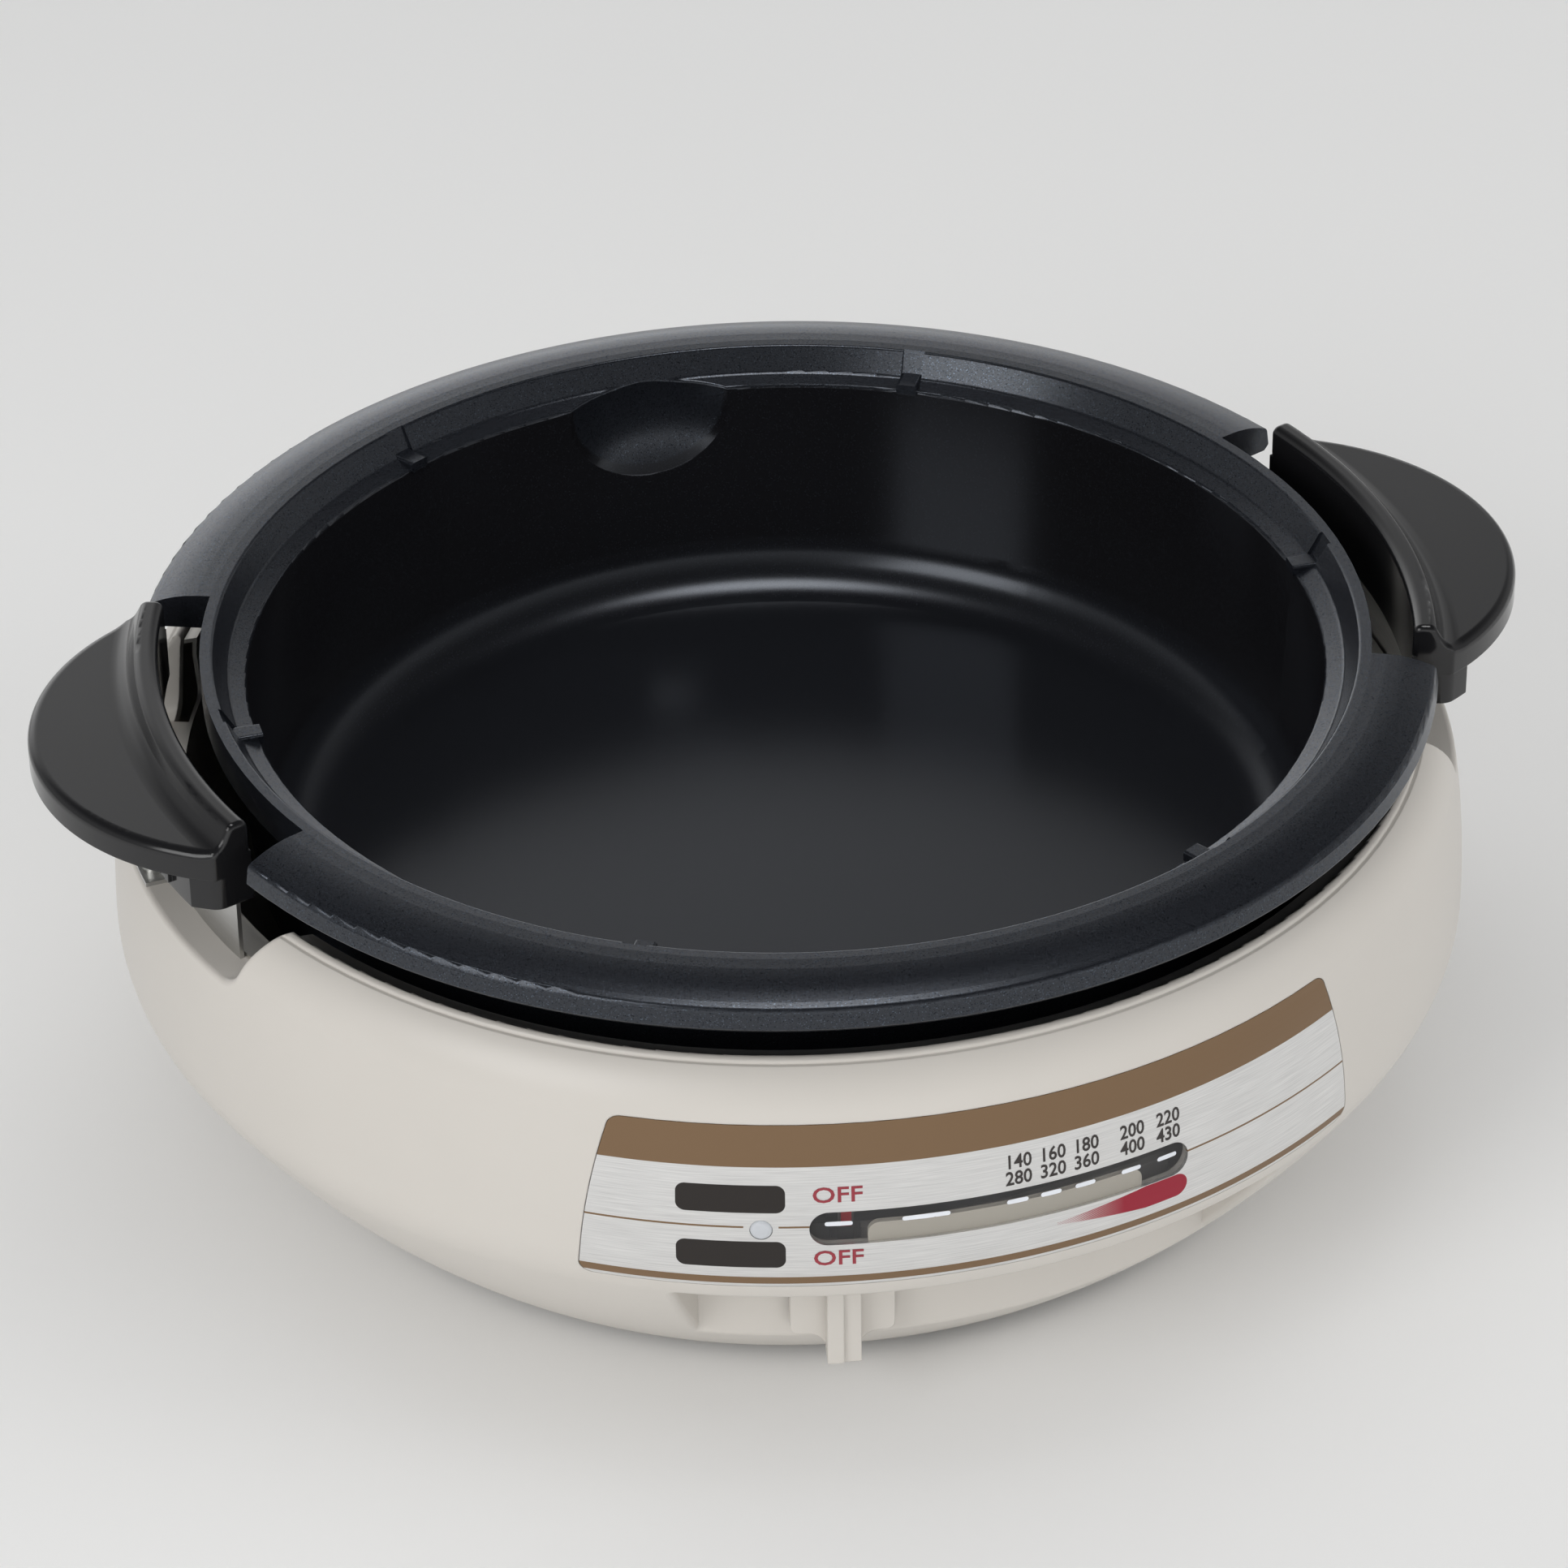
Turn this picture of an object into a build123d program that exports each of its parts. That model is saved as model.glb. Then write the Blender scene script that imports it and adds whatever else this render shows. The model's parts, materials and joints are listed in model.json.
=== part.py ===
from build123d import *
import math
import os

# Round electric skillet: a deep pan with a broad cast rim stands in a plastic base.
# Millimetres. Z points up, the table is z = 0, the front (panel and lever) faces -Y,
# and the two handles lie on the X axis. Angles are degrees about Z, with +X at 0.

# ---------------------------------------------------------------- driving sizes
# pan
rim_radius = 151.0             # inner top edge of the pan's mouth
pan_depth = 70.0               # mouth to cooking floor
pan_wall = 3.0
wall_taper = 3.2               # how far the wall leans in, top to floor
floor_corner = 14.0            # inside radius between wall and floor
flange_width = 21.0            # mouth edge to the flange's outer edge
flange_crown = 8.2             # flange's outer edge to where its top starts to fall
flange_fall = 3.2              # mouth to the outer end of the flange's top
flange_bow = 30.0              # radius of the bend between them
flange_drop = 8.5              # mouth to the flange's lower outer edge
flange_depth = 10.0            # mouth to the flange's underside
ring_width = 3.2               # plain ring left at the side gaps
ledge_drop = 6.7               # mouth to the lid ledge's outer line
ledge_fall = 1.5               # slope of the ledge
ledge_width = 5.0
ledge_step = 3.8               # mouth edge to the ledge's outer line
mouth_round = 1.0              # rounding of the mouth's edge and of the ledge's inner edge
ledge_round = 1.5              # hollow corner at the ledge's outer line
side_gap_half_angle = 22.4     # flange is left out here, beside each handle
lug_width = 6.0
lug_height = 1.6
lug_nose = 0.8                 # how far a lug stands out past the ledge's inner edge
lug_corner = 0.8
notch_depth = 1.2
scoop_radius = 39.0            # ball-shaped steam scoop at the back of the mouth
scoop_depth = 5.5
scoop_drop = 11.0              # mouth to the ball's middle
scoop_round = 0.8              # rounding of the scoop's edge

# base
foot_height = 4.0
foot_radius = 8.0
casing_wall = 3.0
casing_margin = 9.0            # flange edge to the casing's widest line
lip_inset = 6.2                # flange edge to the casing's mouth, inwards
lip_drop = 19.7                # pan's mouth to the casing's lip
lip_width = 2.8
lip_bead = 1.3
shoulder_width = 11.5          # widest line to the foot of the lip
shoulder_height = 13.0
waist_height = 63.8            # height of the widest line
upper_lean = 2.8               # how far the casing leans in from the widest line to the cut-down
waist_radius = 23.2            # radii of the casing's outline below the widest line
bowl_radius = 226.0
waist_turn = 32.7              # how far the waist's arc turns before the bowl
bottom_flange = 12.0
saddle_drop = 38.0             # pan's mouth to the cut-down under each handle
saddle_half_angle = 21.4
saddle_lead = 6.5              # extra half width at the top of the cut-down
saddle_corner = 7.0
saddle_round = 1.5             # rounding of the cut-down's outer edges

# front
front_angle = -88.5            # middle of the panel
panel_low = 56.9
panel_high = 104.0
panel_half_bottom = 101.6      # half widths, seen straight on; the ends are bowed
panel_half_middle = 99.1
panel_half_top = 92.8
panel_thickness = 0.8
panel_corner = 3.5
panel_clearance = 0.15
skin_reach = 12.0              # depth of the tools that cut through the casing's front
slot_half_angle = 15.85
slot_height = 9.7
slot_middle = 74.8
lamp_angle = -108.1
lamp_radius = 2.8
recess_half_angle = 26.2
recess_slant = 1.4             # how much wider the recess is at the casing's face, each end
recess_corner = 1.5
recess_low = 22.5
recess_high = 51.0
recess_round = 2.0             # rounding of the overhang's edge
recess_setback = 27.0          # widest line to the recess wall
lever_off_angle = -101.25
lever_travel = 26.8            # OFF to the highest mark
lever_half_angle = 4.75
lever_clearance = 1.2          # above the lever's plate
lever_low = 26.0
lever_plate_depth = 4.0
lever_gap = 2.0                # recess wall to the back of the lever's plate
lever_corner = 2.0
rib_width = 8.7
rib_depth = 4.0
rib_step = 1.2                 # the rib's left half stands out this much more
rib_drop = 6.3                 # how far the rib hangs below its plate
rib_flare = 4.5                # hollow corner between the plate and the hanging rib
guide_left = -99.9             # ends of the rail behind the window
guide_right = -71.4
guide_drop = 9.8               # slot's middle to the rail's top
arm_height = 38.0
arm_width = 12.0
arm_thickness = 2.0
arm_clearance = 1.5
arm_seat = 2.0                 # how far the arm's end reaches into the lever's plate
pointer_width = 2.6

# handles
handle_wall = 3.2
handle_gap = 0.8               # casing's mouth to the handle's wall, inwards
handle_half_angle = 19.5
handle_rise = 3.5              # ridge above the pan's mouth
ridge_width = 5.5              # top of the ridge
ridge_slope = 3.6              # run of its outward slope
ridge_round = 2.4
slope_hollow = 6.0
end_round = 1.5                # rounding of the grip's ends
edge_round = 2.6               # rounding of the plate's edge
leg_round = 4.5
plate_drop = 3.0               # pan's mouth to the grip plate's top
plate_thickness = 8.0
lobe_share = 0.4371            # radius of the grip's round outline, as a share of the mouth's
handle_reach = 50.5            # mouth edge to the handle's tip
leg_drop = 20.0
leg_depth = 15.0
leg_inner_angle = 12.0
grip_wall = 2.6
strap_thickness = 1.2
strap_half_angle = 11.2
strap_foot_half_angle = 19.0
bracket_screw_angle = 3.0
handle_screw_angle = 5.0

# inside
guard_thickness = 1.0
guard_floor = 42.0
guard_rim_gap = 0.5
guard_seat = 0.3               # casing's cut-down to the guard's flange
guard_flange_in = 5.3          # casing's mouth to the flange's inner edge
guard_flange_out = 2.0
guard_flange_half_angle = 20.5
base_plate_thickness = 2.5
element_inset = 56.0            # pan's mouth to the element's circle
element_tube = 4.2
element_gap_half = 12.0        # half the distance between the element's cold ends
element_flat = 0.7
element_bend = 11.0
element_leg_length = 12.0      # below the guard's floor
seal_radius = 6.5
seal_length = 3.0              # each side of the guard's floor
clip_width = 8.0
clip_depth = 15.0
clip_angles = [210, 270, 330]
reflector_thickness = 0.8
reflector_reach = 30.0         # element circle to the dish's bend
contact_gap = 0.3              # between bodies that stand on each other
pillar_radius = 5.0
pillar_circle = 100.0
screw_radius = 1.9
screw_clearance = 0.1
sensor_radius = 11.4
sensor_clearance = 0.08
sensor_housing_wall = 1.5
sensor_cap_wall = 1.5
sensor_skirt = 13.0
spring_radius = 7.5
spring_wire = 0.7
spring_turns = 6
sensor_travel = 3.0
spindle_radius = 3.0
spindle_clearance = 0.05
thermostat_radius = 21.0
lead_radius = 1.3
inlet_angle = 90.0
inlet_setback = 28.0
inlet_screw_x = 19.0
inlet_body_width = 30.0
inlet_body_height = 16.0
inlet_half_width = 25.0
inlet_low = 20.0
inlet_high = 44.0

# ---------------------------------------------------------------- derived sizes
flange_radius = rim_radius + flange_width
casing_radius = flange_radius + casing_margin
lip_radius = flange_radius - lip_inset
element_top = guard_floor + guard_thickness + 20.7
pan_bottom = element_top + contact_gap
pan_floor = pan_bottom + pan_wall
rim_height = pan_floor + pan_depth
lip_height = rim_height - lip_drop
saddle_height = rim_height - saddle_drop
saddle_half_width = casing_radius * math.sin(math.radians(saddle_half_angle))
upper_bow = ((saddle_height - waist_height) ** 2 + upper_lean ** 2) / (2 * upper_lean)
element_radius = rim_radius - element_inset
ring_radius = rim_radius + ring_width
lobe_radius = rim_radius * lobe_share
plate_floor = foot_height + casing_wall
plate_top = plate_floor + base_plate_thickness
guard_top = guard_floor + guard_thickness
reflector_top = guard_top + reflector_thickness
element_height = element_top + element_flat - element_tube
sensor_bore = sensor_radius + sensor_clearance
sensor_housing_radius = sensor_bore + sensor_housing_wall
wall_radius = lip_radius - handle_gap
wall_outside = wall_radius + handle_wall
strap_radius = wall_outside + 0.1
bracket_screw_circle = strap_radius + strap_thickness + 4.2
handle_low = rim_height - leg_drop
grip_high = rim_height - plate_drop
grip_low = grip_high - plate_thickness
handle_screw_height = (handle_low + grip_low) / 2
recess_radius = casing_radius - recess_setback
inlet_face = casing_radius - inlet_setback
inlet_middle = (inlet_low + inlet_high) / 2
lever_back = recess_radius + lever_gap
lever_front = lever_back + lever_plate_depth
bowl_middle_height = waist_height + (bowl_radius - waist_radius) * math.sin(math.radians(waist_turn))
bowl_middle_radius = casing_radius - waist_radius
bowl_middle_radius -= (bowl_radius - waist_radius) * math.cos(math.radians(waist_turn))
bottom_radius = bowl_middle_radius + math.sqrt(bowl_radius ** 2 - (bowl_middle_height - foot_height) ** 2)
bottom_opening = bottom_radius - bottom_flange
casing_screw_circle = bottom_opening + 4.5
casing_screw_angles = [30, 90, 150, 210, 270, 330]
left, right = 180.0, 0.0
seam_angle = 45.0              # where the turned shells start, away from every cut


# ---------------------------------------------------------------- helpers
def spin(outline):
    """Full turn of an outline drawn as (radius, height)."""
    return revolve(Plane.XZ * make_face(outline), Axis.Z)


def outline_of(points, radii=0.0):
    return FilletPolyline(*points, radius=radii, close=True)


def tube(inner, outer, low, high):
    ring = Circle(outer) - Circle(inner) if inner > 0 else Circle(outer)
    return extrude(Pos(0, 0, low) * ring, high - low)


def sector(inner, outer, low, high, middle, half_angle, corner=0.0):
    """Piece of a ring about Z, its radial edges rounded if corner is given."""
    section = Rectangle(outer - inner, high - low)
    section = Plane.XZ * Pos((inner + outer) / 2, (low + high) / 2) * section
    piece = revolve(section, Axis.Z, 2 * half_angle)
    piece = Rot(0, 0, -half_angle) * piece
    if corner:
        depth = outer - inner
        radial = piece.edges().filter_by(GeomType.LINE).filter_by(lambda e: abs(e.length - depth) < 1e-3)
        radial = radial.filter_by(lambda e: abs(e.tangent_at(0.5).Z) < 0.5)
        piece = fillet(radial, corner)
    return Rot(0, 0, middle) * piece


def ring_piece(outline, middle, half_angle):
    """Part of a turn about Z of an outline drawn as (radius, height)."""
    piece = revolve(Plane.XZ * make_face(outline), Axis.Z, 2 * half_angle)
    return Rot(0, 0, middle - half_angle) * piece


def around(shape, angles):
    return [Rot(0, 0, a) * shape for a in angles]


def point_at(radius, angle, height):
    a = math.radians(angle)
    return (radius * math.cos(a), radius * math.sin(a), height)


def angle_of(place):
    return math.degrees(math.atan2(place.Y, place.X))


def screw(head_low, head_height, shank_end, head_radius=3.4):
    """Upright screw on the Z axis: the head starts at head_low, the shank goes up."""
    head = tube(0, head_radius, head_low, head_low + head_height)
    shank = tube(0, screw_radius, head_low, shank_end)
    slot = Pos(0, 0, head_low) * Box(head_radius * 2, 0.8, 1.2)
    return head + shank - slot


def hung_screw(head_top, head_height, shank_end, head_radius=3.4):
    """Upright screw on the Z axis: the head's top is at head_top, the shank goes down."""
    head = tube(0, head_radius, head_top - head_height, head_top)
    shank = tube(0, screw_radius, shank_end, head_top)
    slot = Pos(0, 0, head_top) * Box(head_radius * 2, 0.8, 1.2)
    return head + shank - slot


def radial(shape, angle, height):
    """Turns a shape drawn along Z so that its Z points outwards at this angle."""
    return Rot(0, 0, angle) * Pos(0, 0, height) * Rot(0, 90, 0) * shape


def wire_tube(points, radius, bend):
    """Round rod along straight runs joined by tangent arcs."""
    path = FilletPolyline(*points, radius=bend)
    return sweep((path ^ 0) * Circle(radius), path=path)


# ---------------------------------------------------------------- pan
def pan_outline():
    wall_top_in = rim_radius - ledge_step - ledge_width
    ledge_in_height = rim_height - ledge_drop - ledge_fall
    ledge_out = rim_radius - ledge_step
    outer_top = wall_top_in + pan_wall
    under = rim_height - flange_depth
    points = [
        (0, pan_floor),
        (wall_top_in - wall_taper, pan_floor),
        (wall_top_in, ledge_in_height),
        (ledge_out, rim_height - ledge_drop),
        (rim_radius, rim_height),
        (ring_radius, rim_height + 0.1),
        (flange_radius - flange_crown, rim_height - 0.1),
        (flange_radius - 0.8, rim_height - flange_fall),
        (flange_radius, rim_height - flange_drop),
        (flange_radius - 1.5, under),
        (ring_radius - 1.2, under),
        (outer_top + 2.2, under - 4.0),
        (outer_top - wall_taper, pan_bottom),
        (0, pan_bottom),
    ]
    radii = [0, floor_corner, mouth_round, ledge_round, mouth_round, 0.3, flange_bow, 2.0, 0.8, 0.8, 2.0, 3.0,
             floor_corner + pan_wall, 0]
    return outline_of(points, radii)


def on_ball(edge, middle, radius):
    """True for an edge that lies on a ball."""
    return all(abs((edge @ place - middle).length - radius) < 0.02 for place in (0.1, 0.5, 0.9))


def make_pan():
    ledge_out = rim_radius - ledge_step
    ledge_in = ledge_out - ledge_width
    ledge_height = rim_height - ledge_drop
    ball_middle = Pos(0, ledge_in + scoop_depth - scoop_radius, rim_height - scoop_drop)
    bulge = ball_middle * Sphere(scoop_radius + pan_wall)
    bulge = bulge & tube(ledge_in + 1, flange_radius, pan_floor, rim_height - flange_depth + 1)
    pan = spin(pan_outline()) + bulge
    pan -= ball_middle * Sphere(scoop_radius)
    middle = ball_middle.position
    pan = fillet(pan.edges().filter_by(lambda e: on_ball(e, middle, scoop_radius)), scoop_round)
    for side in (left, right):
        pan -= sector(ring_radius, flange_radius + 5, rim_height - flange_depth - 5, rim_height + 5,
                      side, side_gap_half_angle)
    half = math.degrees(lug_width / 2 / ledge_out)
    groove_low = ledge_height + 0.3
    groove = Polyline((ledge_out - 1, groove_low), (ledge_out + notch_depth, groove_low),
                      (rim_radius + notch_depth, rim_height + 1), (ledge_out - 1, rim_height + 1), close=True)
    for angle in (0, 60, 120, 180, 240, 300):
        pan -= ring_piece(groove, angle, half)
        pan += sector(ledge_in - lug_nose, ledge_out + notch_depth + 0.5, ledge_height - ledge_fall - 0.8,
                      ledge_height - ledge_fall / 2 + lug_height, angle, half, lug_corner)
    return pan


# ---------------------------------------------------------------- casing
def casing_outline(inset):
    """Outline of the casing as a closed region to the axis, moved inwards by inset."""
    bottom = foot_height + inset
    start = (casing_radius - inset, waist_height)
    # up: a long bow, then the shoulder
    foot_of_lip = lip_height - lip_bead
    shoulder_low = foot_of_lip - shoulder_height
    bow_turn = math.asin((shoulder_low - waist_height) / upper_bow)
    shoulder_start = casing_radius - upper_bow * (1 - math.cos(bow_turn))
    shoulder_run = shoulder_start - (casing_radius - shoulder_width)
    chord_turn = math.atan2(shoulder_run, shoulder_height)
    shoulder_bow = math.hypot(shoulder_run, shoulder_height) / (2 * math.sin(chord_turn - bow_turn))
    bow = JernArc(start, (0, 1), upper_bow - inset, math.degrees(bow_turn))
    shoulder = JernArc(bow @ 1, bow % 1, shoulder_bow - inset, math.degrees(2 * (chord_turn - bow_turn)))
    # down: a tight turn at the waist, then the bowl
    turn = JernArc(start, (0, -1), waist_radius - inset, -waist_turn)
    bowl_turn = math.degrees(math.asin((bowl_middle_height - bottom) / (bowl_radius - inset))) - waist_turn
    bowl = JernArc(turn @ 1, turn % 1, bowl_radius - inset, -bowl_turn)
    top_end = shoulder @ 1
    low_end = bowl @ 1
    closing = Polyline(top_end, (0, top_end.Y), (0, low_end.Y), low_end)
    return [bow, shoulder, closing, bowl, turn]


def casing_region(inset):
    return Rot(0, 0, seam_angle) * spin(casing_outline(inset))


def saddle(grow):
    """Cut-down under both handles; grow widens and deepens it for the wall's inner side."""
    low = saddle_height - grow
    high = rim_height + 20
    half_low = saddle_half_width + grow
    half_high = half_low + saddle_lead
    lip = lip_height + 1
    points = [(-half_high - 12, high), (-half_high - 12, lip), (-half_high, lip), (-half_low, low),
              (half_low, low), (half_high, lip), (half_high + 12, lip), (half_high + 12, high)]
    inner = max(saddle_corner - grow, 1.0)
    radii = [0, 0, 6 + grow, inner, inner, 6 + grow, 0, 0]
    face = Plane.YZ * make_face(outline_of(points, radii))
    start = lip_radius * 0.75
    block = extrude(Pos(start, 0, 0) * face, casing_radius)
    return block + Rot(0, 0, 180) * block


def recess(grow):
    """Room for the lever; its ends slant, so it is wider at the casing's face."""
    inner = recess_radius - grow
    outer = casing_radius + 20
    turn = math.degrees(grow / recess_radius)
    near = point_at(inner, recess_half_angle + turn, 0)[:2]
    far = point_at(outer, recess_half_angle + recess_slant + turn, 0)[:2]
    wedge = Polyline((near[0], -near[1]), (far[0], -far[1]), (2 * far[0], -far[1]), (2 * far[0], far[1]),
                     far, near, close=True)
    plan = (Circle(outer) - Circle(inner)) & make_face(wedge)
    block = extrude(Pos(0, 0, recess_low - grow) * plan, recess_high - recess_low + 2 * grow)
    ends = block.edges().filter_by(GeomType.LINE).filter_by(lambda e: abs(e.tangent_at(0.5).Z) < 0.5)
    return Rot(0, 0, front_angle) * fillet(ends, recess_corner + grow / 2)


def inlet_recess(grow):
    depth = 60.0
    block = Box(2 * (inlet_half_width + grow), depth, inlet_high - inlet_low + 2 * grow)
    block = Pos(0, inlet_face - grow + depth / 2, (inlet_low + inlet_high) / 2) * block
    block = fillet(block.edges().filter_by(Axis.Y), 3.0 + grow)
    return Rot(0, 0, inlet_angle - 90) * block


def soften(shape, edges, radius):
    """Fillet; where the edges don't take the whole radius, the most of it that they do take."""
    for share in (1.0, 0.8, 0.6, 0.4, 0.2):
        try:
            return fillet(edges, radius * share)
        except ValueError:
            continue
    return shape


def panel_tool(clearance):
    """Panel's outline, seen straight on, as a block through the casing's front."""
    middle = (panel_low + panel_high) / 2
    ends = []
    for side in (-1, 1):
        ends.append(ThreePointArc((side * panel_half_bottom, panel_low), (side * panel_half_middle, middle),
                                  (side * panel_half_top, panel_high)))
    top = Line(ends[0] @ 1, ends[1] @ 1)
    bottom = Line(ends[0] @ 0, ends[1] @ 0)
    face = make_face([*ends, top, bottom])
    face = fillet(face.vertices(), panel_corner)
    if clearance:
        face = offset(face, clearance)
    start = casing_radius * 0.7
    block = extrude(Plane.YZ * face, casing_radius + 5 - start)
    return Rot(0, 0, front_angle) * Pos(start, 0, 0) * block


def slot_tool(clearance):
    grow = math.degrees(clearance / casing_radius)
    half = slot_height / 2 + clearance
    return sector(casing_radius - skin_reach, casing_radius + 5, slot_middle - half, slot_middle + half,
                  front_angle, slot_half_angle + grow, half * 0.98)


def inlet_body_tool(clearance):
    hole = Box(inlet_body_width + 2 * clearance, 40, inlet_body_height + 2 * clearance)
    hole = Pos(0, inlet_face, inlet_middle) * fillet(hole.edges().filter_by(Axis.Y), 3.0)
    return Rot(0, 0, inlet_angle - 90) * hole


def bracket_screw_places():
    places = []
    for side in (left, right):
        for turn in (-bracket_screw_angle, bracket_screw_angle):
            places.append(Rot(0, 0, side + turn) * Pos(bracket_screw_circle, 0, 0))
    return places


def lamp_tool(radius):
    return radial(tube(0, radius, casing_radius - skin_reach, casing_radius + 5), lamp_angle, slot_middle)


def make_casing():
    outside = casing_region(0.0)
    inside = casing_region(casing_wall)
    bead_points = [(lip_radius, lip_height - 4), (lip_radius + lip_width, lip_height - 4),
                   (lip_radius + lip_width, lip_height), (lip_radius, lip_height)]
    bead = Rot(0, 0, seam_angle) * spin(outline_of(bead_points, [0, 0, 1.2, 1.2]))
    outside = outside + bead - saddle(0.0)
    edges = outside.edges().filter_by(lambda e: saddle_height - 3 < e.center().Z < lip_height)
    edges = edges.filter_by(lambda e: abs(e.center().X) > casing_radius - 31 and e.geom_type != GeomType.LINE)
    edges = edges.filter_by(lambda e: math.hypot(e.center().X, e.center().Y) > casing_radius - 9)
    outside = soften(outside, edges, saddle_round)
    outside -= recess(0.0)
    brow = outside.edges().filter_by(lambda e: abs((e @ 0.5).Z - recess_high) < 0.01)
    brow = brow.filter_by(lambda e: e.geom_type != GeomType.LINE and abs((e @ 0.5).Y) > recess_radius + 5)
    outside = fillet(brow, recess_round) - inlet_recess(0.0)
    inside = inside - saddle(casing_wall) - recess(casing_wall) - inlet_recess(casing_wall)
    casing = outside - inside
    casing -= tube(0, lip_radius, plate_top + 60, rim_height)
    casing -= tube(0, bottom_opening, 0, plate_floor + 1)
    # pocket, slot and lamp hole behind the panel
    pocket = (casing_region(0.0) - casing_region(panel_thickness)) & panel_tool(panel_clearance)
    casing -= pocket
    casing -= slot_tool(0.6)
    casing -= lamp_tool(lamp_radius + 0.15)
    # lever slot through the recess wall
    swing = math.degrees((arm_width / 2 + arm_clearance) / recess_radius)
    casing -= sector(recess_radius - casing_wall - 1, recess_radius + 1, arm_height - arm_clearance,
                     arm_height + arm_thickness + arm_clearance, lever_off_angle + lever_travel / 2,
                     lever_travel / 2 + swing)
    # socket hole and its screws, holes for the casing screws
    casing -= inlet_body_tool(0.2)
    for x in (-inlet_screw_x, inlet_screw_x):
        hole = Rot(90, 0, 0) * Cylinder(screw_radius + 0.1, 8)
        hole = Pos(x, inlet_face - casing_wall / 2, inlet_middle) * hole
        casing -= Rot(0, 0, inlet_angle - 90) * hole
    for hole in around(Pos(casing_screw_circle, 0, 0) * tube(0, screw_radius + screw_clearance, 0, 20),
                       casing_screw_angles):
        casing -= hole
    hole = tube(0, screw_radius + screw_clearance, saddle_height - casing_wall - 2, saddle_height + 2)
    for place in bracket_screw_places():
        casing -= place * hole
    return casing


# ---------------------------------------------------------------- bottom cover, feet
pillar_angles = [25, 155, 205, 335]
foot_angles = [45, 135, 225, 315]
foot_circle = bottom_opening - foot_radius - 4


def make_base_plate():
    edge = bottom_radius - 3.5
    plate = tube(0, edge, plate_floor, plate_top)
    boss = Pos(casing_screw_circle, 0, 0) * tube(0, 4.2, plate_top - 1, plate_top + 8)
    for piece in around(boss, casing_screw_angles):
        plate += piece
    bore = tube(0, screw_radius + screw_clearance, 0, plate_top + 7)
    foot_bore = tube(0, foot_radius * 0.45 + 0.1, 0, plate_top + 7)
    holes = around(Pos(casing_screw_circle, 0, 0) * bore, casing_screw_angles)
    holes += around(Pos(pillar_circle, 0, 0) * bore, pillar_angles)
    holes += around(Pos(foot_circle, 0, 0) * foot_bore, foot_angles)
    for hole in holes:
        plate -= hole
    vent = Pos(62, 0, plate_floor) * extrude(SlotOverall(34, 4), base_plate_thickness * 2)
    for hole in around(vent, [15 * n + 7.5 for n in range(24)]):
        plate -= hole
    rim = tube(edge - 2, edge, plate_top - 0.5, plate_top + 3)
    return plate + rim


def make_feet():
    pad = tube(0, foot_radius, 0, plate_floor)
    pad = fillet(pad.edges().sort_by(Axis.Z)[0], 1.0)
    neck = tube(0, foot_radius * 0.45, plate_floor - 0.5, plate_top + 0.2)
    cap = tube(0, foot_radius * 0.62, plate_top, plate_top + 1.6)
    foot = pad + neck + cap
    return around(Pos(foot_circle, 0, 0) * foot, foot_angles)


def make_casing_screws():
    one = Pos(casing_screw_circle, 0, 0) * screw(foot_height - 2.2, 2.2, plate_top + 6)
    return around(one, casing_screw_angles)


def make_pillar_screws():
    one = Pos(pillar_circle, 0, 0) * screw(plate_floor - 2.2, 2.2, plate_top + 8)
    return around(one, pillar_angles)


# ---------------------------------------------------------------- heat guard and what it carries
guard_lip = lip_radius - guard_rim_gap
guard_points = [
    (0, guard_floor),
    (element_radius + 43, guard_floor),
    (element_radius + 51.5, guard_floor + 16),
    (recess_radius + 3.5, guard_floor + 34),
    (lip_radius - 2.6, lip_height - 6),
    (lip_radius - 2.6, lip_height - 2.6),
    (guard_lip, lip_height - 2.6),
]


def make_heat_guard():
    t = guard_thickness
    inner = [
        (guard_lip, lip_height - 2.6 + t),
        (lip_radius - 2.6 - t, lip_height - 2.6 + t),
        (lip_radius - 2.6 - t, lip_height - 6),
        (recess_radius + 3.5 - t, guard_floor + 34 + t * 0.4),
        (element_radius + 51.5 - t, guard_floor + 16 + t * 0.5),
        (element_radius + 43 - t * 0.6, guard_top),
        (0, guard_top),
    ]
    guard = spin(Polyline(*guard_points, *inner, close=True))
    edge_height = saddle_height + guard_seat + t
    guard -= Pos(0, 0, edge_height - saddle_height + casing_wall) * saddle(casing_wall)
    for side in (left, right):
        guard += sector(lip_radius - guard_flange_in, lip_radius + guard_flange_out,
                        saddle_height + guard_seat, edge_height, side, guard_flange_half_angle)
    guard -= tube(0, sensor_housing_radius + 0.1, guard_floor - 1, guard_top + 1)
    for hole in around(Pos(pillar_circle, 0, 0) * tube(0, screw_radius + screw_clearance, 0, guard_top + 1),
                       pillar_angles):
        guard -= hole
    for hole in element_leg_places():
        guard -= hole * tube(0, seal_radius + 0.05, guard_floor - 1, guard_top + 1)
    return guard


def make_reflector():
    t = reflector_thickness
    low = guard_top
    rim = element_radius + reflector_reach
    hole = sensor_housing_radius + 4
    points = [(hole, low), (rim, low), (rim + 8, low + 6), (rim + 7.4, low + 6.6), (rim - 0.4, low + t),
              (hole, low + t)]
    dish = spin(Polyline(*points, close=True))
    for hole in around(Pos(pillar_circle, 0, 0) * tube(0, screw_radius + screw_clearance, 0, guard_top + 2),
                       pillar_angles):
        dish -= hole
    for hole in element_leg_places():
        dish -= hole * tube(0, seal_radius + 1.5, guard_floor, guard_top + 4)
    return dish


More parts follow.
